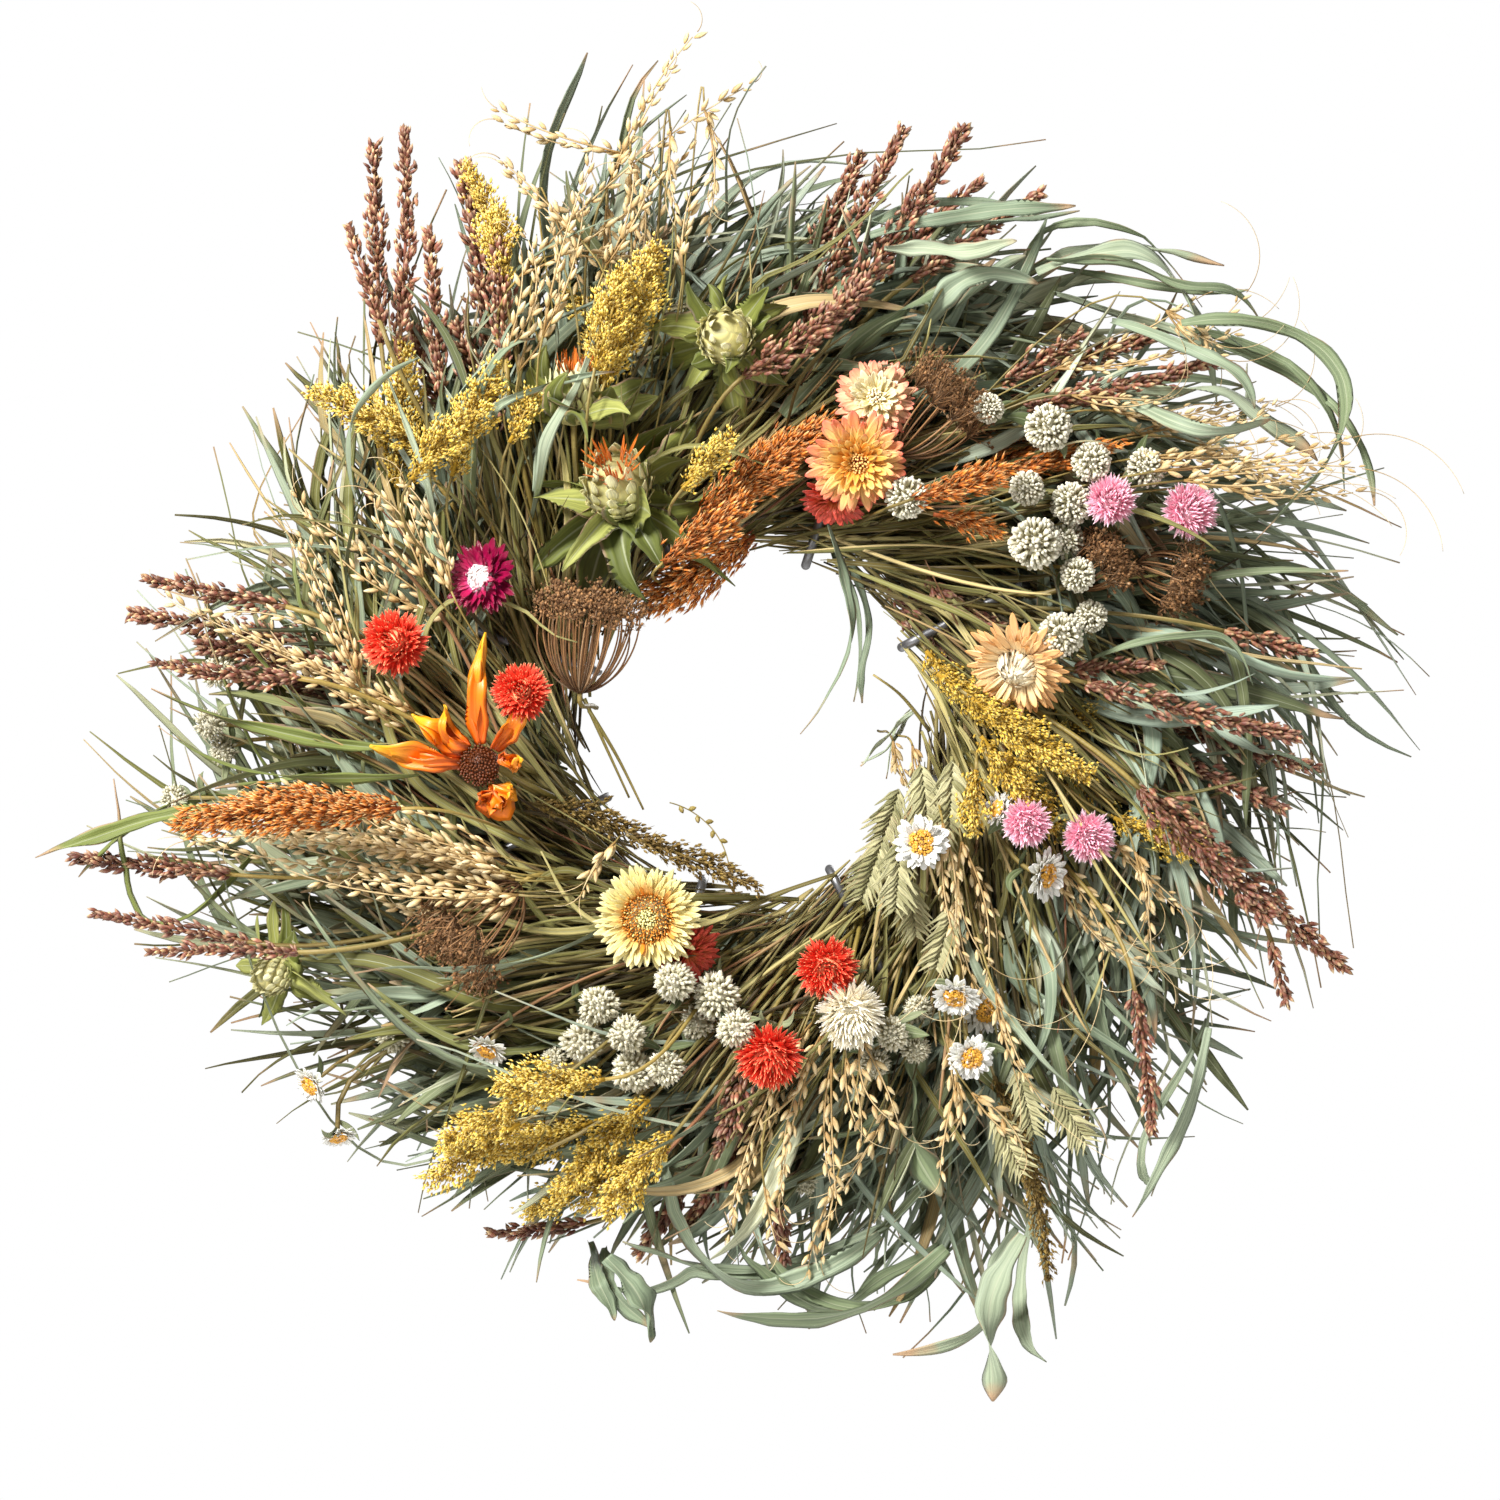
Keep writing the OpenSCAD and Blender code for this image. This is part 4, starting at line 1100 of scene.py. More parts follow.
def add_tendril(heap, start, way, span):
    """A curling thread that runs on from the end of a string, shorter where it would reach too far."""
    rng = heap.rng
    t = np.linspace(0, 1, TENDRIL_RINGS)[:, None]
    reach = rng.uniform(*span) * MM
    side = np.cross(way, FRONT) * rng.choice([-1, 1])
    curl = rng.uniform(0.5, 2.4)
    sway = FRONT * 0.15 * rng.normal()
    bend = (way * np.sin(curl * t) + side * (1 - np.cos(curl * t))) / curl + sway * t
    for share in (1.0, 0.5, 0.25, 0.1):
        line = start + bend * reach * share
        if not outside(line[None])[0]:
            break
    add_stem(heap, line, 0.25, 0.14, 0.4, 1.0, 3)


SCALE_PAIRS = 11
OAT_SCALE = petal(1.0, 0.27, 0.5, 0.16, rings=6, point=0.3, thickness=0.03)


def oat_head(heap, line, width):
    """One flat seed head: two rows of pointed scales like a chevron."""
    rng = heap.rng
    n = SCALE_PAIRS
    t = (np.arange(n) + 0.3) / n
    place, way = along_curve(line, t)
    size = width * 0.62 * (0.35 + 0.65 * np.sin(math.pi * (0.25 + 0.72 * t)))
    for side in (-1, 1):
        out = np.cross(way, FRONT) * side
        aim = unit(way * 0.95 + out * rng.uniform(0.6, 0.95, (n, 1)))
        up = unit(FRONT + rng.normal(0, 0.12, (n, 3)))
        up = unit(up - (up * aim).sum(1, keepdims=True) * aim)
        length = size * rng.uniform(1.5, 2.0, n)
        turn = np.stack([aim, np.cross(up, aim), up], -1) * length[:, None, None]
        add_copies(heap, OAT_SCALE, turn, place + FRONT * (0.4 + 0.3 * side) * MM, rng.random(n), 1.0)
    add_stem(heap, line, 0.4, 0.4, 0.3, 0.9, 4)


def sea_oats(material):
    """The flat seed heads of sea oats."""
    heap = Heap("sea_oats_scales")
    for line, width in zip(*blades("sea_oats")):
        oat_head(heap, line, width)
    heap.build(material, "sea_oats", "sea_oats")


# ---------------------------------------------------------------- flower heads


def heads(node):
    """(centre, facing, diameter) of each round head or daisy in a CAD node."""
    found = [turned_solid(p) for p in solids(node)]
    return [(f[1], unit(f[2] - f[0]), 2 * f[3]) for f in found]


def petal_turns(facing, phi, rise):
    """Rotations that lay a petal (along +X, face +Z) out at phi round the axis, raised by rise."""
    base = frame_on(facing)
    cp, sp, cr, sr = np.cos(phi), np.sin(phi), np.cos(rise), np.sin(rise)
    zero = np.zeros_like(phi)
    x = np.stack([cp * cr, sp * cr, sr], -1)
    y = np.stack([-sp, cp, zero], -1)
    z = np.stack([-cp * sr, -sp * sr, cr], -1)
    return np.einsum("ij,njk->nik", base, np.stack([x, y, z], -1)), base


def round_spots(phi, radius, height):
    """Points at phi round +Z, at a radius and a height."""
    return np.stack([np.cos(phi) * radius, np.sin(phi) * radius, np.full(len(phi), height)], -1)


def ball(count, share):
    """Points spread evenly over a ball of radius one, from its top down past its middle."""
    i = np.arange(count)
    up = 1 - share * (i + 0.5) / count
    ring = np.sqrt(1 - up**2)
    return np.stack([ring * np.cos(i * GOLDEN), ring * np.sin(i * GOLDEN), up], -1)


def add_core(heap, shape, centre, facing, size, tint, shade):
    """The solid body under petals, bracts or rods."""
    add_copies(heap, shape, frame_on(facing)[None] * size, centre[None], tint, shade)


PETAL_VARIANTS = 3


def add_rosette(heap, centre, facing, d, rings, tint):
    """Rings of petals. A ring is (count, rise, length, width, start, height, cup, curl), sizes over d."""
    rng = heap.rng
    for j, (count, rise, length, width, start, height, cup, curl) in enumerate(rings):
        f = j / max(len(rings) - 1, 1)
        for v in range(PETAL_VARIANTS):
            shape = petal(length * d, width * d * rng.uniform(0.8, 1.15), cup * rng.uniform(0.4, 1.6),
                          curl + rng.normal(0, 0.07), point=rng.uniform(0.45, 0.75))
            i = np.arange(v, count, PETAL_VARIANTS)
            n = len(i)
            phi = (i + 0.5 * (j % 2) + rng.normal(0, 0.2, n)) * TAU / count
            turn, base = petal_turns(facing, phi, rise + rng.normal(0, 0.13, n))
            turn = turn * rng.uniform(0.8, 1.1, (n, 1, 1))
            place = round_spots(phi, start, height) * d
            shades = tint[0] + (tint[1] - tint[0]) * f + rng.normal(0, 0.04, n)
            add_copies(heap, shape, turn, centre + place @ base.T, shades.clip(0, 1), 0.82 + 0.18 * f)


def add_rods(heap, centre, facing, d, count, r0, r1, dome, length, width, shape, tint, flare=0.35):
    """Small upright rods or buds over a disc from radius r0 to r1 (over d), domed by dome."""
    rng = heap.rng
    i = np.arange(count)
    r = np.sqrt(r0**2 + (r1**2 - r0**2) * (i + 0.5) / count)
    phi = i * GOLDEN
    base = frame_on(facing)
    height = dome * np.sqrt(np.maximum(1 - (r / (r1 * 1.12)) ** 2, 0))
    place = np.stack([r * np.cos(phi), r * np.sin(phi), height], -1) * d
    way = np.stack([flare * r / r1 * np.cos(phi), flare * r / r1 * np.sin(phi), np.ones(count)], -1)
    way = unit(way + rng.normal(0, 0.12, (count, 3))) @ base.T
    size = rng.uniform(0.8, 1.15, count)
    turn = spun(rng, way, width, length, size)
    add_copies(heap, shape, turn, centre + place @ base.T, tint + rng.normal(0, 0.05, count), 0.95)


FLOWER_CUP = lathe([(-0.12, 0), (-0.1, 0.1), (0.0, 0.2), (0.05, 0.12), (0.06, 0)], 16)


def strawflower(node, material, rings, discs=(), heart=None, heart_rings=(), scale=1.0):
    """Everlasting flowers: rings of stiff petals, then a heart of small petals and discs of florets."""
    heap = Heap(f"{node}_petals")
    middle = Heap(f"{node}_heart") if heart else heap
    for centre, facing, d in heads(node):
        d = d * scale
        foot = centre - facing * 0.16 * d
        add_rosette(heap, foot, facing, d, rings, (0.0, 0.6))
        add_rosette(middle, foot, facing, d, heart_rings, (0.3, 0.8))
        for disc in discs:
            add_rods(middle, foot, facing, d, *disc)
        add_core(heap, FLOWER_CUP, foot, facing, d, 0.2, 0.6)
        add_stalk(foot - facing * 0.1 * d, facing, 1.2 * MM, 2)
    heap.build(material, node, node)
    if heart:
        middle.build(heart, node, node)


GLOBE_CORE = lathe([(-0.34, 0), (-0.28, 0.18), (-0.1, 0.3), (0.12, 0.31), (0.27, 0.2), (0.33, 0)], 16)
GLOBE_BRACTS = 340
GLOBE_BRACT_LENGTH = 0.30


def add_bract_ball(heap, centre, facing, d, width, stretch):
    """A ball of pointed bracts that all lean towards its top."""
    rng = heap.rng
    n = GLOBE_BRACTS
    local = ball(n, 1.9)
    up = local[:, 2]
    local = (local * [1, 1, stretch]) @ frame_on(facing).T
    out = unit(local)
    way = unit(out * 0.95 + facing * 0.5 + rng.normal(0, 0.16, (n, 3)))
    normal = unit(facing - (way @ facing)[:, None] * way + out * 0.02)
    turn = np.stack([way, np.cross(normal, way), normal], -1) * rng.uniform(0.75, 1.15, (n, 1, 1))
    shape = petal(GLOBE_BRACT_LENGTH * d, width * d, 0.55, 0.16, rings=5, point=0.4)
    place = centre + local * d * rng.uniform(0.22, 0.29, (n, 1))
    # Painted light: bracts on the upper part of the ball, towards the way it faces, get lighter tints than
    # those below.
    add_copies(heap, shape, turn, place, 0.5 + 0.5 * up, 0.95)


def globe_flower(node, material, width=0.10, stretch=1.0):
    """Globe amaranths."""
    heap = Heap(f"{node}_bracts")
    for centre, facing, d in heads(node):
        add_bract_ball(heap, centre, facing, d, width, stretch)
        add_core(heap, GLOBE_CORE, centre, facing, d, 0.4, 0.45)
        add_stalk(centre - facing * 0.4 * d, facing, 1.0 * MM, 3)
    heap.build(material, node, node)


ROD = lathe([(0, 0), (0.05, 0.32), (0.6, 0.36), (0.85, 0.5), (0.97, 0.34), (1, 0)], 6)
MINT_CORE = lathe([(-0.3, 0), (-0.25, 0.15), (-0.1, 0.27), (0.1, 0.27), (0.25, 0.15), (0.3, 0)], 12)
MINT_KNOBS = 7


def add_rod_ball(heap, centre, facing, d, rods, woolly):
    """A ball of short rods, or of small buds with hairs that stand in a few lumps."""
    rng = heap.rng
    out = ball(rods, 1.75) @ frame_on(facing).T
    lump = np.ones(rods)
    if woolly:
        knobs = unit(rng.normal(0, 1, (MINT_KNOBS, 3)))
        lump = 0.72 + 0.42 * np.clip((out @ knobs.T).max(1), 0, 1) ** 4
    out = unit(out + rng.normal(0, 0.10, out.shape))
    size = rng.uniform(0.8, 1.12, rods)
    wide = (0.100 if woolly else 0.080) * d
    turn = spun(rng, out, wide, 0.25 * d, size)
    place = centre + out * (0.25 * d * lump)[:, None]
    add_copies(heap, BUD if woolly else ROD, turn, place, rng.random(rods), 0.95)
    if woolly:
        hairs(heap, place + out * 0.2 * d, out, 1.2 * MM)


def mint(node, name, material, rods, woolly=False):
    """Round mint heads."""
    heap = Heap(name)
    for centre, facing, d in heads(node):
        add_rod_ball(heap, centre, facing, d, rods, woolly)
        add_core(heap, MINT_CORE, centre, facing, d, 0.3, 0.9)
        add_stalk(centre - facing * 0.35 * d, facing, 0.9 * MM, 3)
    heap.build(material, "mint_head", node)


SPLIT_RAYS = 0.15
RAY_RINGS = 14
FLORET = 1.5 * MM, 2.2 * MM
FLORET_HAIRS = 3


def umbel_rays(heap, base, middle, axis, r, rays):
    """The curved rays of an umbel, as lines, with the outward way of each."""
    rng = heap.rng
    i = np.arange(rays)
    phi = i * GOLDEN
    out = r * np.sqrt((i + 0.5) / rays) * rng.uniform(0.85, 1.05, rays)
    local = np.stack([out * np.cos(phi), out * np.sin(phi), 0.25 * r * (1 - (out / r) ** 2)], -1)
    turn = frame_on(axis)
    tip = middle + local @ turn.T + rng.normal(0, 0.06 * r, (rays, 3))
    side = unit((local * [1, 1, 0]) @ turn.T)
    reach = np.linalg.norm(middle - base)
    line = bezier(np.repeat(base[None], rays, 0), base + axis * 0.12 * reach + side * out[:, None] * 0.75,
                  base + axis * 0.6 * reach + side * out[:, None] * 1.12, tip, RAY_RINGS)
    width = np.linspace(0.5, 0.3, RAY_RINGS)[None] * MM * np.ones((rays, 1))
    add_tubes(heap, line, width, rng.random(rays), 0.9, 4)
    return line, side


def umbel_florets(heap, line, side, axis, r, count, hair, split):
    """A cluster of tiny florets at the end of each ray. A wide split puts each on its own short ray."""
    rng = heap.rng
    which = np.repeat(np.arange(len(line)), count)
    n = len(which)
    tip = line[which, -1]
    place = tip + rng.normal(0, split * r, (n, 3)) + axis * 0.08 * r
    way = unit(axis + 1.1 * unit(place - tip) + 0.3 * side[which])
    if split > SPLIT_RAYS:
        fork = line[which, -3]
        elbow = (fork + place) / 2 + rng.normal(0, 0.7 * MM, (n, 3))
        twig = np.stack([fork, elbow, place], 1)
        add_tubes(heap, twig, np.full((n, 3), 0.18 * MM), rng.random(n), 0.85, 3)
    size = rng.uniform(0.6, 1.2, n)
    turn = scaled(frames(way), FLORET[0] * size, FLORET[1] * size)
    add_copies(heap, BUD, turn, place, rng.random(n), rng.uniform(0.6, 1, n))
    for _ in range(FLORET_HAIRS):
        hairs(heap, place, unit(way + rng.normal(0, 0.7, way.shape)), hair)


def umbels(node, material, rays, florets, hair, split):
    """Umbels: curved rays that carry clusters of tiny florets."""
    heap = Heap(f"{node}_rays")
    for points in solids(node):
        base, middle, top, r = turned_solid(points)
        axis = unit(top - base)
        line, side = umbel_rays(heap, base, middle, axis, r, rays)
        umbel_florets(heap, line, side, axis, r, florets, hair, split)
        add_stalk(base, axis, 1.2 * MM)
    heap.build(material, "brown_umbel", node)


BRACT_RINGS = 16


def add_bracts(heap, centre, facing, d, n, rise, size):
    """A ruff of leafy bracts, each with its own length, droop, twist and fold."""
    rng = heap.rng
    draw = Draws(rng, n)
    phi = (np.arange(n) + rng.normal(0, 0.28, n)) * TAU / n
    turn, base = petal_turns(facing, phi, rise + rng.normal(0, 0.3, n))
    out, side, up = turn[..., 0], turn[..., 1], turn[..., 2]
    start = centre + round_spots(phi, 0.16, -0.36) @ base.T * d
    length = size * d * draw.between(0.65, 1.15)
    droop = up * draw.about(-0.1, 0.3) + side * draw.about(0, 0.3)
    line = bezier(start, start + out * length * 0.4, start + (out * 0.75 + droop * 0.3) * length,
                  start + (out * 0.92 + droop) * length, BRACT_RINGS)
    line[..., 1] = np.minimum(line[..., 1], -BACK_LIMIT)
    t = np.linspace(0, 1, BRACT_RINGS)
    ruffle = 1 + 0.10 * np.sin(draw.between(12, 26) * t + draw.share() * 6)
    half = 0.31 * d * draw.between(0.6, 1.1) * np.sin(math.pi * (0.1 + 0.87 * t) ** 0.85) * ruffle
    roll = draw.about(0, 0.4) + draw.about(0, 1.0) * t
    folds = 0.45 + 0.35 * np.sin(4 * t + draw.share() * 6)
    add_ribbons(heap, line, np.maximum(half, 0.3 * MM), roll, folds, rng.uniform(0, 0.45, n), 0.95)


BUD_EGG = lathe([(-0.5, 0), (-0.42, 0.28), (-0.1, 0.46), (0.22, 0.4), (0.42, 0.22), (0.5, 0)], 20)
SCALE_RINGS = 6
TUFT_HAIRS = 46
BUD_SHARE = 1.86


def add_scales(heap, centre, facing, d):
    """Rings of small scales over the egg of a safflower bud."""
    for ring in range(SCALE_RINGS):
        n = 16 - 2 * ring
        height = -0.36 + 0.15 * ring
        radius = 0.46 * math.sqrt(max(1 - (height / 0.56) ** 2, 0.05))
        shape = petal(0.3 * d, 0.2 * d, 0.3, -0.10, rings=6, point=0.5, thickness=BLADE)
        phi = (np.arange(n) + 0.5 * (ring % 2)) * TAU / n
        turn, base = petal_turns(facing, phi, np.full(n, 1.15 + 0.16 * ring))
        place = round_spots(phi, radius, height) * d
        add_copies(heap, shape, turn, centre + place @ base.T, 0.55 + 0.07 * ring, 1.0)


def add_tuft(heap, centre, facing, d):
    """The orange tuft of an open safflower."""
    rng = heap.rng
    n = TUFT_HAIRS
    phi = rng.random(n) * TAU
    turn, base = petal_turns(facing, phi, rng.uniform(0.25, 1.4, n))
    place = round_spots(phi, 0.13, 0.36) * d
    shape = petal(0.48 * d, 0.05 * d, 0.5, 0.3, rings=6, point=0.6)
    add_copies(heap, shape, turn * rng.uniform(0.6, 1.1, (n, 1, 1)), centre + place @ base.T, 1.0, 1.0)


def safflower(node, material, count, open_bud, spread):
    """Safflower: an egg of scales in a ruff of leafy bracts."""
    heap = Heap(f"{node}_bud")
    for points in solids(node):
        foot, _, top, _ = turned_solid(points)
        facing = unit(top - foot)
        d = np.linalg.norm(top - foot) / BUD_SHARE
        centre = foot + facing * 1.3 * d
        add_core(heap, BUD_EGG, centre, facing, d, 0.6, 0.7)
        add_scales(heap, centre, facing, d)
        add_bracts(heap, centre, facing, d, count, 0.15 * spread, 1.5)
        add_bracts(heap, centre, facing, d, int(count * 0.8), 0.7, 1.05)
        if open_bud:
            add_tuft(heap, centre, facing, d)
        add_stalk(centre - facing * 0.4 * d, facing, 1.4 * MM)
    heap.build(material, "green_bract", node)


SUNFLOWER_CONE = lathe([(-0.6, 0), (-0.5, 0.3), (-0.1, 0.5), (0.2, 0.42), (0.42, 0.2), (0.45, 0)], 20)
SHREDS = 3
SHRED_WIDTHS = np.array([[0.95], [0.6], [0.5]])
CURLED_RINGS = 26


def add_curled_petal(heap, points):
    """One petal of the sunflower, torn into shreds that curl together."""
    rng = heap.rng
    draw = Draws(rng, SHREDS)
    line, width = blade_line(points)
    line = np.repeat(resample(line[None], CURLED_RINGS), SHREDS, 0)
    t = np.linspace(0, 1, CURLED_RINGS)[None]
    wave = FRONT * (4.5 * MM * np.sin(TAU * (1.3 * t + draw.share())) * t)[..., None]
    side = sideways(line)
    line = line + wave + side * (3.0 * MM * draw.about(0, 1) * t * (1 + np.sin(5 * t)))[..., None]
    line[:, :, 1] -= draw.between(-1, 2) * MM * t
    half = 1.1 * width / 2 * np.sin(math.pi * (0.1 + 0.84 * t) ** 0.75) * SHRED_WIDTHS
    half = half * (1 + 0.12 * np.sin(19 * t + draw.share() * 6))
    roll = 0.6 * draw.about(0, 1) + 1.5 * draw.about(0, 1) * t
    folds = 0.4 + 0.35 * np.sin(5 * t + draw.share() * 6)
    add_ribbons(heap, line, np.maximum(half, 0.3 * MM), roll, folds, rng.uniform(0, 0.5, SHREDS), 1.0)


def sunflower(material):
    """The orange sunflower: a dark cone and the curled petals it still has."""
    heap = Heap("orange_sunflower_head")
    parts = solids("orange_sunflower")
    core = max(parts, key=lambda points: np.ptp(points[:, 1]))
    foot, middle, top, r = turned_solid(core)
    facing = unit(top - foot)
    sunk = middle - facing * 2 * MM
    add_rods(heap, sunk, facing, 2 * r, 150, 0.0, 0.5, 0.42, 2.6 * MM, 1.3 * MM, BUD, 1.0, 1.0)
    add_core(heap, SUNFLOWER_CONE, sunk, facing, 2 * r, 1.0, 0.5)
    for points in parts:
        if points is not core:
            add_curled_petal(heap, points)
    add_stalk(middle - facing * 6 * MM, facing, 1.6 * MM)
    heap.build(material, "orange_sunflower", "orange_sunflower")


# ---------------------------------------------------------------- the wreath


BUNDLES = 8
OLIVE_BUNDLES = (4, 5)


def build_leaves():
    sage = leaf_material("sage_leaf", (0.0, 88, 90, 50), (0.2, 114, 124, 94), (0.5, 144, 160, 142),
                         (0.78, 172, 186, 172), (0.93, 196, 200, 172), (1.0, 190, 160, 110), tip=0.95)
    olive = leaf_material("olive_leaf", (0.0, 84, 80, 36), (0.25, 124, 124, 66), (0.45, 134, 146, 116),
                          (0.8, 168, 182, 162), (0.93, 190, 194, 160), (1.0, 196, 164, 108), tip=0.94)
    straw = leaf_material("straw_stalk", (0.0, 66, 50, 24), (0.25, 100, 88, 40), (0.5, 134, 130, 74),
                          (0.7, 178, 166, 108), (0.84, 212, 190, 134), (1.0, 136, 80, 54), tip=1.2)
    broad = leaf_material("broad_leaf", (0.0, 112, 120, 50), (0.3, 118, 130, 88), (0.6, 130, 144, 122),
                          (1.0, 166, 176, 152), tip=0.90)
    for k in range(1, BUNDLES + 1):
        leaf_bundle(k, olive if k in OLIVE_BUNDLES else sage)
        straw_bundle(k, straw)
    broad_leaves(broad)


PLAIN = (1, 1, 1)


def build_sorghum():
    red_brown = seed_material("sorghum_seed", ((0.0, 140, 104, 76), (0.5, 138, 82, 70), (1.0, 216, 186, 150)),
                              ((0.0, (0.42, 0.34, 0.34)), (0.4, (0.85, 0.8, 0.8)), (0.8, (1.2, 1.2, 1.15)),
                               (1.0, (1.7, 1.95, 1.7))))
    for part, tone in (("top", 0.55), ("right", 0.5), ("bottom", 0.3), ("left", 0.35)):
        sorghum(f"sorghum_{part}", red_brown, tone)


def build_plumes():
    gold = seed_material("goldenrod_floret", ((0.0, 204, 164, 44), (0.4, 250, 212, 84), (1.0, 255, 242, 160)),
                         ((0.0, (0.62, 0.56, 0.24)), (0.5, (1.05, 1.05, 1)), (1.0, (1.25, 1.3, 1.5))), 0.8)
    for part in ("upper_left", "right", "bottom"):
        name = f"goldenrod_{part}"
        plume(name, f"{name}_florets", gold, "goldenrod", GOLDENROD)
    rust = seed_material("rust_spikelet", ((0.0, 164, 80, 20), (0.5, 236, 136, 44), (1.0, 252, 214, 146)),
                         ((0.0, (0.55, 0.46, 0.4)), (0.5, PLAIN), (1.0, (1.4, 1.55, 1.9))), 0.7)
    plume("rust_plumes", "rust_plume_spikelets", rust, "rust_plumes", RUST_PLUME)
    fox = seed_material("foxtail_floret", ((0.0, 110, 92, 40), (1.0, 170, 140, 74)),
                        ((0.0, (0.6, 0.6, 0.5)), (0.5, PLAIN), (1.0, (1.3, 1.3, 1.1))), 0.7)
    plume("foxtail", "foxtail_florets", fox, "foxtail", FOXTAIL)


def build_grains():
    kernel = seed_material("rice_kernel", ((0.0, 172, 140, 84), (0.5, 222, 198, 146), (1.0, 240, 222, 180)),
                           ((0.0, (0.72, 0.6, 0.45)), (0.5, PLAIN), (1.0, (1.15, 1.15, 1.1))), grain=1300.0)
    rice("rice_top", kernel, 2)
    rice("rice_right", kernel, 3, (5.6 * MM, 2.0 * MM), swing=0.09, thread=(15, 60))
    rice("rice_bottom", kernel, 2)
    rice("rice_left", kernel, 3)
    sea_oats(leaf_material("sea_oat_scale", (0.0, 134, 130, 88), (1.0, 200, 192, 150), tip=1.2))


# Sizes are over the flower's diameter, apart from those in MM.
# A ring of petals is (count, rise, length, width, start, height, cup, curl).
# A disc of rods is (count, inner radius, outer radius, dome, length, width, shape, tint).
OUTER = [
    (30, 0.05, 0.38, 0.11, 0.12, 0.00, 0.25, 0.05),
    (30, 0.22, 0.37, 0.11, 0.12, 0.03, 0.3, 0.06),
    (28, 0.42, 0.33, 0.10, 0.10, 0.05, 0.3, 0.05),
]
UPRIGHT = [
    (24, 0.68, 0.28, 0.09, 0.09, 0.07, 0.35, -0.02),
    (20, 0.92, 0.23, 0.08, 0.07, 0.07, 0.4, -0.15),
    (14, 1.15, 0.18, 0.07, 0.05, 0.07, 0.5, -0.3),
]
CLOSING = [
    (34, 2.2, 0.17, 0.06, 0.23, 0.06, 0.5, 0.2),
    (30, 2.5, 0.16, 0.055, 0.18, 0.12, 0.5, 0.2),
    (24, 2.7, 0.14, 0.05, 0.12, 0.15, 0.5, 0.15),
    (14, 2.8, 0.12, 0.045, 0.06, 0.17, 0.5, 0.1),
]
YELLOW_RINGS = [
    (40, 0.02, 0.30, 0.075, 0.22, 0.02, 0.3, 0.03),
    (40, 0.14, 0.29, 0.07, 0.21, 0.05, 0.3, 0.05),
    (38, 0.30, 0.24, 0.065, 0.21, 0.07, 0.3, 0.08),
    (34, 0.55, 0.16, 0.055, 0.22, 0.08, 0.3, 0.1),
]
YELLOW_DISCS = [
    (300, 0.09, 0.25, 0.09, 3.4 * MM, 0.95 * MM, SPIKELET, 0.73),
    (50, 0.12, 0.24, 0.11, 3.4 * MM, 0.9 * MM, BUD, 0.9),
    (90, 0.0, 0.10, 0.10, 2.4 * MM, 1.0 * MM, ROD, 0.97),
]
APRICOT_RINGS = [
    (34, 0.02, 0.41, 0.10, 0.14, 0.0, 0.3, 0.02),
    (32, 0.2, 0.37, 0.095, 0.14, 0.03, 0.35, 0.04),
    (30, 0.45, 0.27, 0.085, 0.16, 0.05, 0.4, 0.02),
]
DAISY_RINGS = [
    (17, 0.1, 0.40, 0.17, 0.14, 0.0, 0.3, 0.05),
    (17, 0.3, 0.37, 0.17, 0.14, 0.03, 0.3, 0.08),
    (16, 0.6, 0.28, 0.15, 0.16, 0.05, 0.35, 0.06),
]
DAISY_DISCS = [
    (80, 0.07, 0.21, 0.12, 1.8 * MM, 1.3 * MM, ROD, 0.80),
    (24, 0.0, 0.08, 0.13, 1.6 * MM, 1.1 * MM, ROD, 0.99),
]
SOFT = (0.0, (0.9, 0.9, 0.9)), (1.0, (1.05, 1.05, 1.05))
# Painted light on the globes: tints from the lower bracts (0) to the bracts that face out (1), which are
# painted lighter.
PAINTED_LIGHT_TINTS = (0.0, (0.95, 0.92, 0.92)), (0.6, (1.1, 1.1, 1.1)), (1.0, (1.22, 1.22, 1.22))


def build_yellow():
    lemon = petal_material("yellow_petal", (0.0, 214, 170, 80), (0.5, 244, 228, 150), (1.0, 250, 240, 184),
                           tints=((0.0, PLAIN), (0.6, (1, 1, 0.95)), (0.68, (0.95, 0.42, 0.10)),
                                  (0.8, (0.9, 0.42, 0.10)), (0.9, (0.95, 1.0, 0.8)), (1.0, (0.95, 1.0, 0.8))))
    strawflower("strawflower_yellow", lemon, YELLOW_RINGS, YELLOW_DISCS)


def build_double_strawflowers():
    """The peach, the cream and the coral ones, with many upright petals."""
    peach = petal_material("peach_petal", (0.0, 250, 214, 130), (0.5, 250, 196, 124), (0.78, 246, 156, 112),
                           (1.0, 236, 96, 84),
                           tints=((0.0, (1, 0.72, 0.8)), (0.25, (1, 0.95, 0.9)), (0.6, (1, 1.08, 0.9))))
    amber = petal_material("peach_heart", (0.0, 240, 156, 50), (0.6, 248, 182, 84), (1.0, 250, 208, 130),
                           tints=SOFT)
    strawflower("strawflower_peach", peach, OUTER,
                [(70, 0.0, 0.10, 0.14, 3.0 * MM, 1.0 * MM, ROD, 0.8)], amber, UPRIGHT, 1.06)
    cream = petal_material("cream_petal", (0.0, 250, 226, 176), (0.45, 250, 206, 160), (0.75, 246, 156, 124),
                           (1.0, 238, 110, 94), tints=((0.0, (1, 0.9, 0.92)), (0.6, (1, 1.12, 1.1))))
    butter = petal_material("cream_heart", (0.0, 246, 222, 130), (0.5, 250, 236, 184), (1.0, 252, 240, 206),
                            tints=SOFT)
    strawflower("strawflower_cream", cream, OUTER,
                [(60, 0.0, 0.09, 0.14, 2.8 * MM, 1.0 * MM, ROD, 0.9)], butter, UPRIGHT, 1.06)
    coral = petal_material("coral_petal", (0.0, 240, 150, 80), (0.5, 230, 92, 70), (1.0, 220, 70, 56))
    strawflower("strawflowers_coral", coral, OUTER + UPRIGHT)


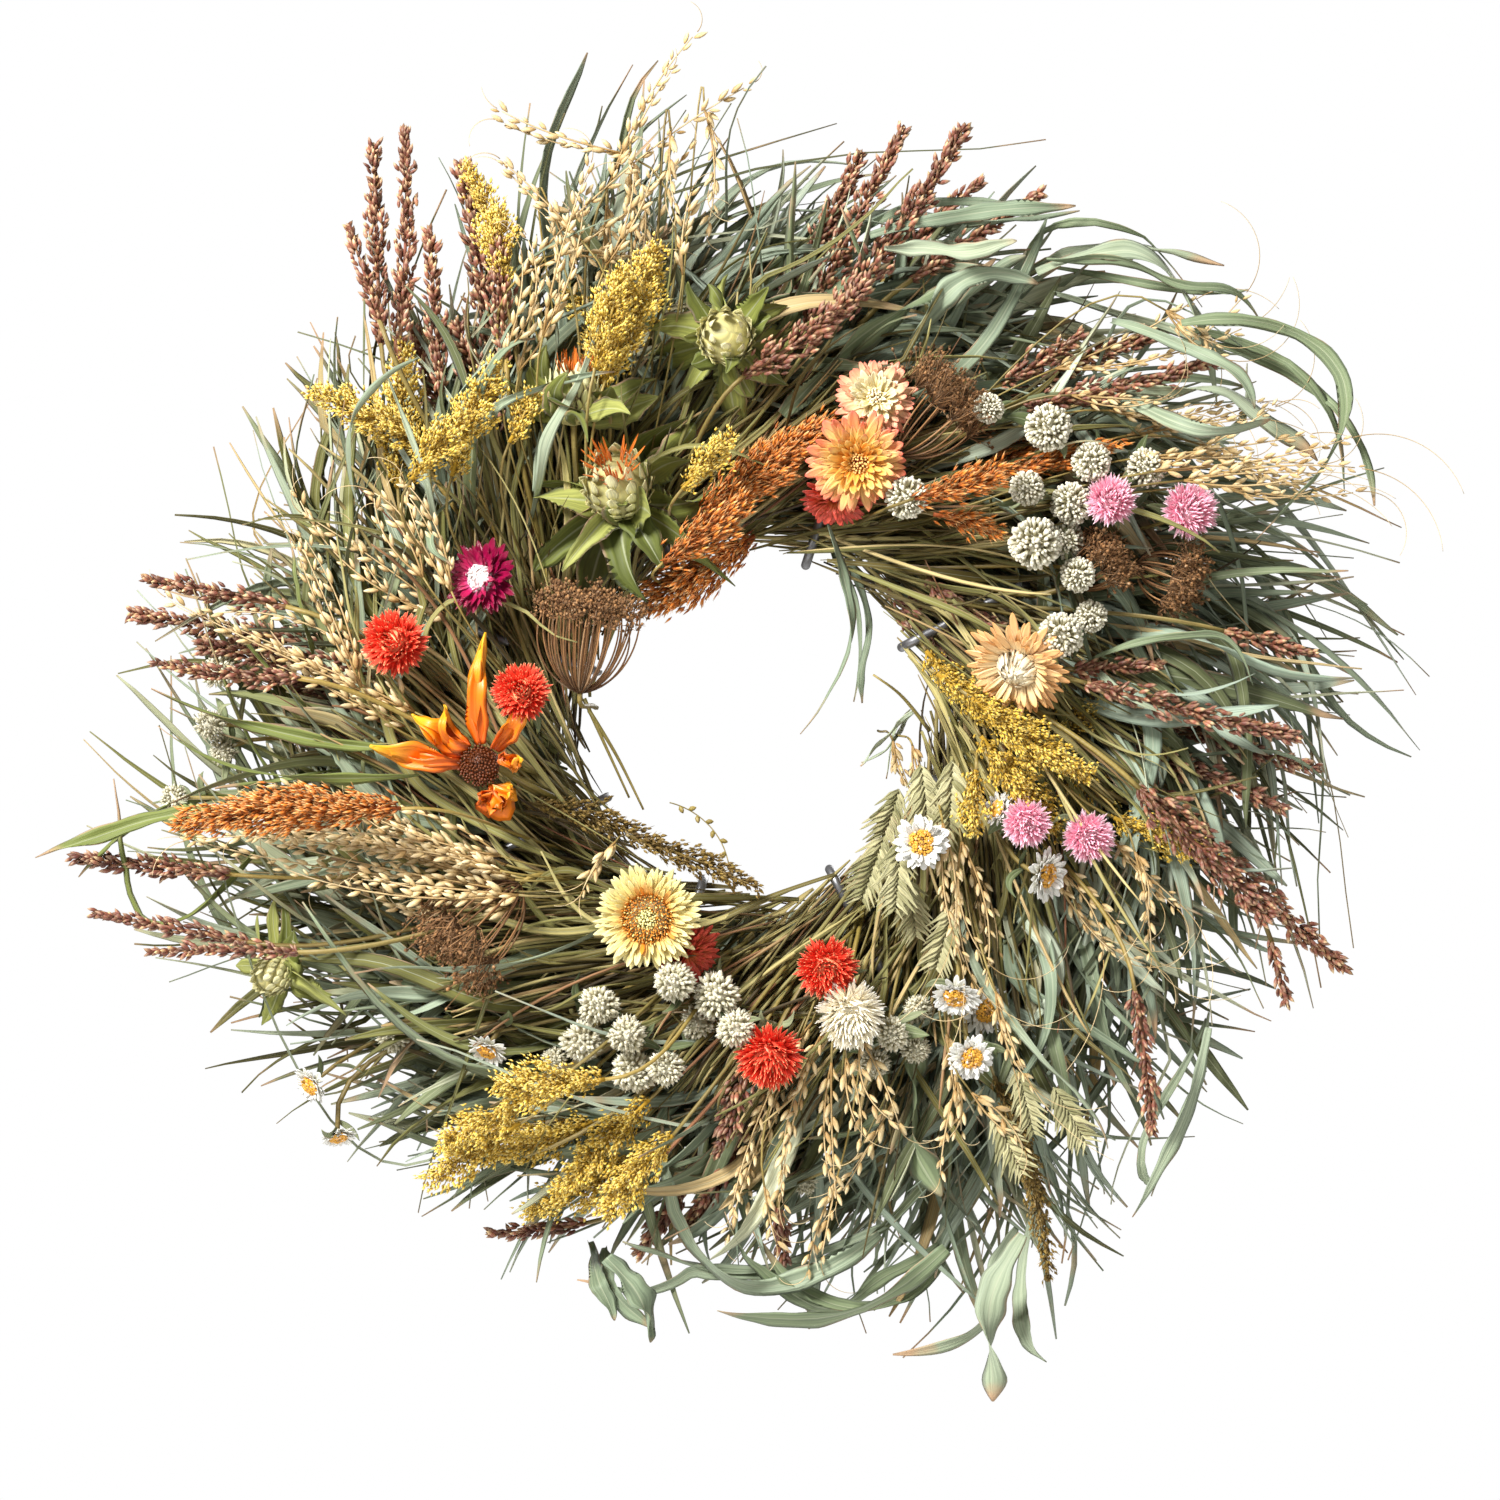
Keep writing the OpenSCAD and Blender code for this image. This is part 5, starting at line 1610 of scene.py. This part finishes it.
def build_closed_strawflowers():
    """The apricot and the magenta ones, with a pale heart of petals that close over it."""
    apricot = petal_material("apricot_petal", (0.0, 250, 226, 178), (0.5, 250, 204, 142),
                             (1.0, 240, 172, 100), tints=((0.0, (1, 0.95, 0.95)), (0.6, (1, 1.05, 1.1))))
    ivory = petal_material("apricot_heart", (0.0, 176, 120, 74), (0.3, 240, 226, 190), (1.0, 246, 236, 208),
                           tints=SOFT)
    strawflower("strawflower_apricot", apricot, APRICOT_RINGS,
                [(30, 0.0, 0.16, 0.08, 4.0 * MM, 3.0 * MM, BUD, 0.6)], ivory, CLOSING, 1.06)
    magenta = petal_material("magenta_petal", (0.0, 196, 96, 150), (0.35, 160, 20, 72), (1.0, 104, 4, 36),
                             roughness=0.3, tints=((0.0, (0.8, 0.8, 0.8)), (0.6, (1.3, 1.5, 1.35))))
    snow = petal_material("magenta_heart", (0.0, 214, 150, 176), (0.3, 248, 236, 232), (1.0, 252, 246, 242),
                          tints=SOFT)
    strawflower("strawflower_magenta", magenta, OUTER + UPRIGHT[:1],
                [(30, 0.0, 0.15, 0.09, 3.6 * MM, 3.0 * MM, BUD, 0.6)], snow, CLOSING, 1.15)


def build_globes():
    red = petal_material("red_bract", (0.0, 226, 60, 44), (0.6, 250, 92, 68), (0.85, 254, 150, 108),
                         (1.0, 254, 214, 150), tints=PAINTED_LIGHT_TINTS)
    pink = petal_material("pink_bract", (0.0, 248, 150, 180), (0.5, 255, 198, 216), (1.0, 255, 240, 244),
                          tints=PAINTED_LIGHT_TINTS, lined=0.4)
    pale = petal_material("cream_bract", (0.0, 255, 244, 214), (0.6, 255, 250, 232), (1.0, 255, 253, 242),
                          tints=PAINTED_LIGHT_TINTS, lined=0.25)
    globe_flower("globes_red", red)
    globe_flower("globes_pink", pink)
    globe_flower("globe_cream", pale, width=0.11, stretch=1.2)


def build_daisies():
    white = petal_material("ammobium_petal", (0.0, 210, 206, 180), (0.4, 240, 240, 232), (1.0, 252, 252, 248),
                           tints=((0.0, PLAIN), (0.7, PLAIN), (0.76, (0.9, 0.42, 0.04)),
                                  (0.9, (0.86, 0.48, 0.06)), (1.0, (0.4, 0.2, 0.05))))
    strawflower("ammobium", white, DAISY_RINGS, DAISY_DISCS, scale=1.1)


def build_mints():
    grey = seed_material("mint_rod", ((0.0, 168, 160, 116), (0.5, 216, 212, 180), (1.0, 244, 243, 226)),
                         ((0.0, (0.8, 0.8, 0.76)), (1.0, (1.1, 1.1, 1.1))), 0.8)
    mint("mint_upper_right", "mint_upper_right_rods", grey, 250)
    mint("mint_bottom", "mint_bottom_lumps", grey, 170, True)
    mint("mint_left", "mint_left_rods", grey, 110, True)


def build_umbels():
    brown = seed_material("umbel_floret", ((0.0, 96, 68, 42), (1.0, 168, 126, 84)),
                          ((0.0, (0.5, 0.42, 0.36)), (0.5, PLAIN), (1.0, (1.4, 1.35, 1.25))), 0.8)
    umbels("nest_umbel", brown, 46, 20, 2.2 * MM, 0.13)
    umbels("brown_umbels", brown, 22, 22, 2.6 * MM, 0.19)


def build_safflowers():
    bracts = leaf_material("safflower_bract", (0.0, 82, 90, 36), (0.25, 124, 130, 60), (0.45, 156, 158, 88),
                           (0.55, 208, 202, 136), (0.92, 246, 238, 192), (0.97, 226, 132, 34),
                           (1.0, 230, 118, 20), tip=1.3)
    safflower("safflower_tufted", bracts, 9, True, 4.0)
    safflower("safflower_open", bracts, 12, True, 1.0)
    safflower("safflower_closed", bracts, 11, False, -1.0)
    safflower("safflower_calyx", bracts, 7, False, 1.0)


def build_sunflower():
    orange = petal_material("sunflower_petal", (0.0, 196, 78, 6), (0.5, 246, 124, 8), (1.0, 252, 184, 44),
                            tints=((0.0, PLAIN), (0.5, (1, 1.1, 1.1)), (0.7, (0.2, 0.12, 0.2)),
                                   (1.0, (0.14, 0.08, 0.25))))
    sunflower(orange)


# Curves of loose stems and of a string of bells, in mm from the middle of the ring.
HOLE_STRAYS = (
    ((-70, 5), (-58, -14), (-47, -37)),
    ((-72, 10), (-64, -8), (-53, -32)),
    ((74, -4), (62, 12), (50, 20)),
)
BELL_STRING = ((-36, -34), (-27, -36), (-14, -44), (-11, -60))
BELLS = 8


def add_strays():
    """Loose stems that cross the rim of the hole, and a curling string of tiny bells."""
    rng = STALKS.rng
    for a, b, c in HOLE_STRAYS:
        add_stem(STALKS, spot_curve((a, b, b, c), (14,) * 4, 12), 1.0, 0.5, 0.6, 1.0)
    line = spot_curve(BELL_STRING, (16,) * 4, 20)
    add_stem(STALKS, line, 0.25, 0.25, 0.8, 1.0, 4)
    places, ways = along_curve(line, np.linspace(0.15, 1.0, BELLS))
    out = around(ways, np.arange(BELLS) * math.pi)
    turn = scaled(frames(unit(ways + out)), np.full(BELLS, 2.2 * MM), np.full(BELLS, 3.6 * MM))
    add_copies(STALKS, KERNEL, turn, places, rng.uniform(0.7, 1, BELLS), 1.0)


def build_stalks():
    """The stalks of all the heads, and the small leaves on them."""
    add_strays()
    stalk = seed_material("head_stalk", ((0.0, 120, 112, 58), (1.0, 164, 148, 88)),
                          ((0.0, (0.55, 0.5, 0.4)), (0.5, PLAIN), (1.0, (1.25, 1.15, 0.95))))
    STALKS.build(stalk, "straw")
    leaflet = leaf_material("small_leaf", (0.0, 74, 86, 48), (0.5, 118, 130, 92),
                            (1.0, 158, 164, 130), tip=1.1)
    LEAFLETS.build(leaflet, "green_bract")


def build_wire():
    """The ring and the clamps stay as they are and take their steels."""
    ring = steel_material("ring_steel", (0.10, 0.10, 0.10))
    clamp = steel_material("clamp_steel", (0.32, 0.32, 0.33))
    for name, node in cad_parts.items():
        if name == "frame_ring" or name.startswith("clamp_"):
            node.data.materials.clear()
            node.data.materials.append(ring if name == "frame_ring" else clamp)


# ---------------------------------------------------------------- stage, light and camera


FLOOR_HALF = 1.6
FLOOR_HEIGHT = -0.95
FLOOR_LINES = 9


def make_floor():
    """A plain pale floor far below the hanging wreath."""
    n = FLOOR_LINES
    grid = np.linspace(-FLOOR_HALF, FLOOR_HALF, n)
    x, y = np.meshgrid(grid, grid)
    top = np.stack([x, y, np.full_like(x, FLOOR_HEIGHT)], -1).reshape(-1, 3)
    quads = [[i * n + j, i * n + j + 1, (i + 1) * n + j + 1, (i + 1) * n + j]
             for i in range(n - 1) for j in range(n - 1)]
    mesh = bpy.data.meshes.new("floor")
    mesh.from_pydata(top.tolist(), [], quads)
    floor = bpy.data.objects.new("floor", mesh)
    bpy.context.scene.collection.objects.link(floor)
    s = Shader("floor_paint", 0.8)
    floor.data.materials.append(s.finish(s.ramp(s.noise(3.0), (0.3, (0.78,) * 3), (0.7, (0.82,) * 3))))


AMBIENT = 0.25
WARM_WHITE = (1, 0.96, 0.89, 1)
KEY_WATTS = 148
FILL_WATTS = 10
BACK_WATTS = 30
AIM = (0, 0, -0.1)
VIEW_WIDTH = 0.630
DISTANCE = 2.6
EYE_X = -2 * MM
EYE_DROP = 11.8 * MM


def add_area(name, place, size, watts):
    """A round lamp that points at the wreath."""
    lamp = bpy.data.lights.new(name, "AREA")
    lamp.shape = "DISK"
    lamp.size = size
    lamp.energy = watts
    holder = bpy.data.objects.new(name, lamp)
    holder.location = place
    holder.rotation_euler = (Vector(AIM) - Vector(place)).to_track_quat("-Z", "Y").to_euler()
    bpy.context.scene.collection.objects.link(holder)


def make_room():
    """A room that looks white and gives a weak, warm light from all sides."""
    world = bpy.data.worlds.new("room")
    bpy.context.scene.world = world
    world.use_nodes = True
    tree = world.node_tree
    backdrop, ambient = tree.nodes["Background"], tree.nodes.new("ShaderNodeBackground")
    backdrop.inputs["Color"].default_value = (1, 1, 1, 1)
    backdrop.inputs["Strength"].default_value = 1.0
    ambient.inputs["Color"].default_value = WARM_WHITE
    ambient.inputs["Strength"].default_value = AMBIENT
    rays, mix = tree.nodes.new("ShaderNodeLightPath"), tree.nodes.new("ShaderNodeMixShader")
    tree.links.new(rays.outputs["Is Camera Ray"], mix.inputs[0])
    tree.links.new(ambient.outputs[0], mix.inputs[1])
    tree.links.new(backdrop.outputs[0], mix.inputs[2])
    tree.links.new(mix.outputs[0], tree.nodes["World Output"].inputs["Surface"])


def make_light():
    """A key from the upper left, a weak fill from the right, and light from behind."""
    make_room()
    add_area("key", (-1.3, -1.7, 1.3), 0.9, KEY_WATTS)
    add_area("fill", (1.6, -1.8, 0.2), 1.4, FILL_WATTS)
    add_area("back", (0.9, 1.9, 0.7), 1.4, BACK_WATTS)
    bpy.context.scene.view_settings.view_transform = "Standard"


def make_camera():
    """Square on to the front, with a long lens."""
    camera = bpy.data.cameras.new("camera")
    camera.sensor_width = 36
    camera.lens = camera.sensor_width * DISTANCE / VIEW_WIDTH
    holder = bpy.data.objects.new("camera", camera)
    holder.location = (EYE_X, -DISTANCE - 0.03, CENTRE[2] - EYE_DROP)
    holder.rotation_euler = (math.pi / 2, 0, 0)
    bpy.context.scene.collection.objects.link(holder)
    bpy.context.scene.camera = holder


build_leaves()
build_sorghum()
build_plumes()
build_grains()
build_yellow()
build_double_strawflowers()
build_closed_strawflowers()
build_globes()
build_daisies()
build_mints()
build_umbels()
build_safflowers()
build_sunflower()
build_stalks()
build_wire()
make_floor()
make_light()
make_camera()
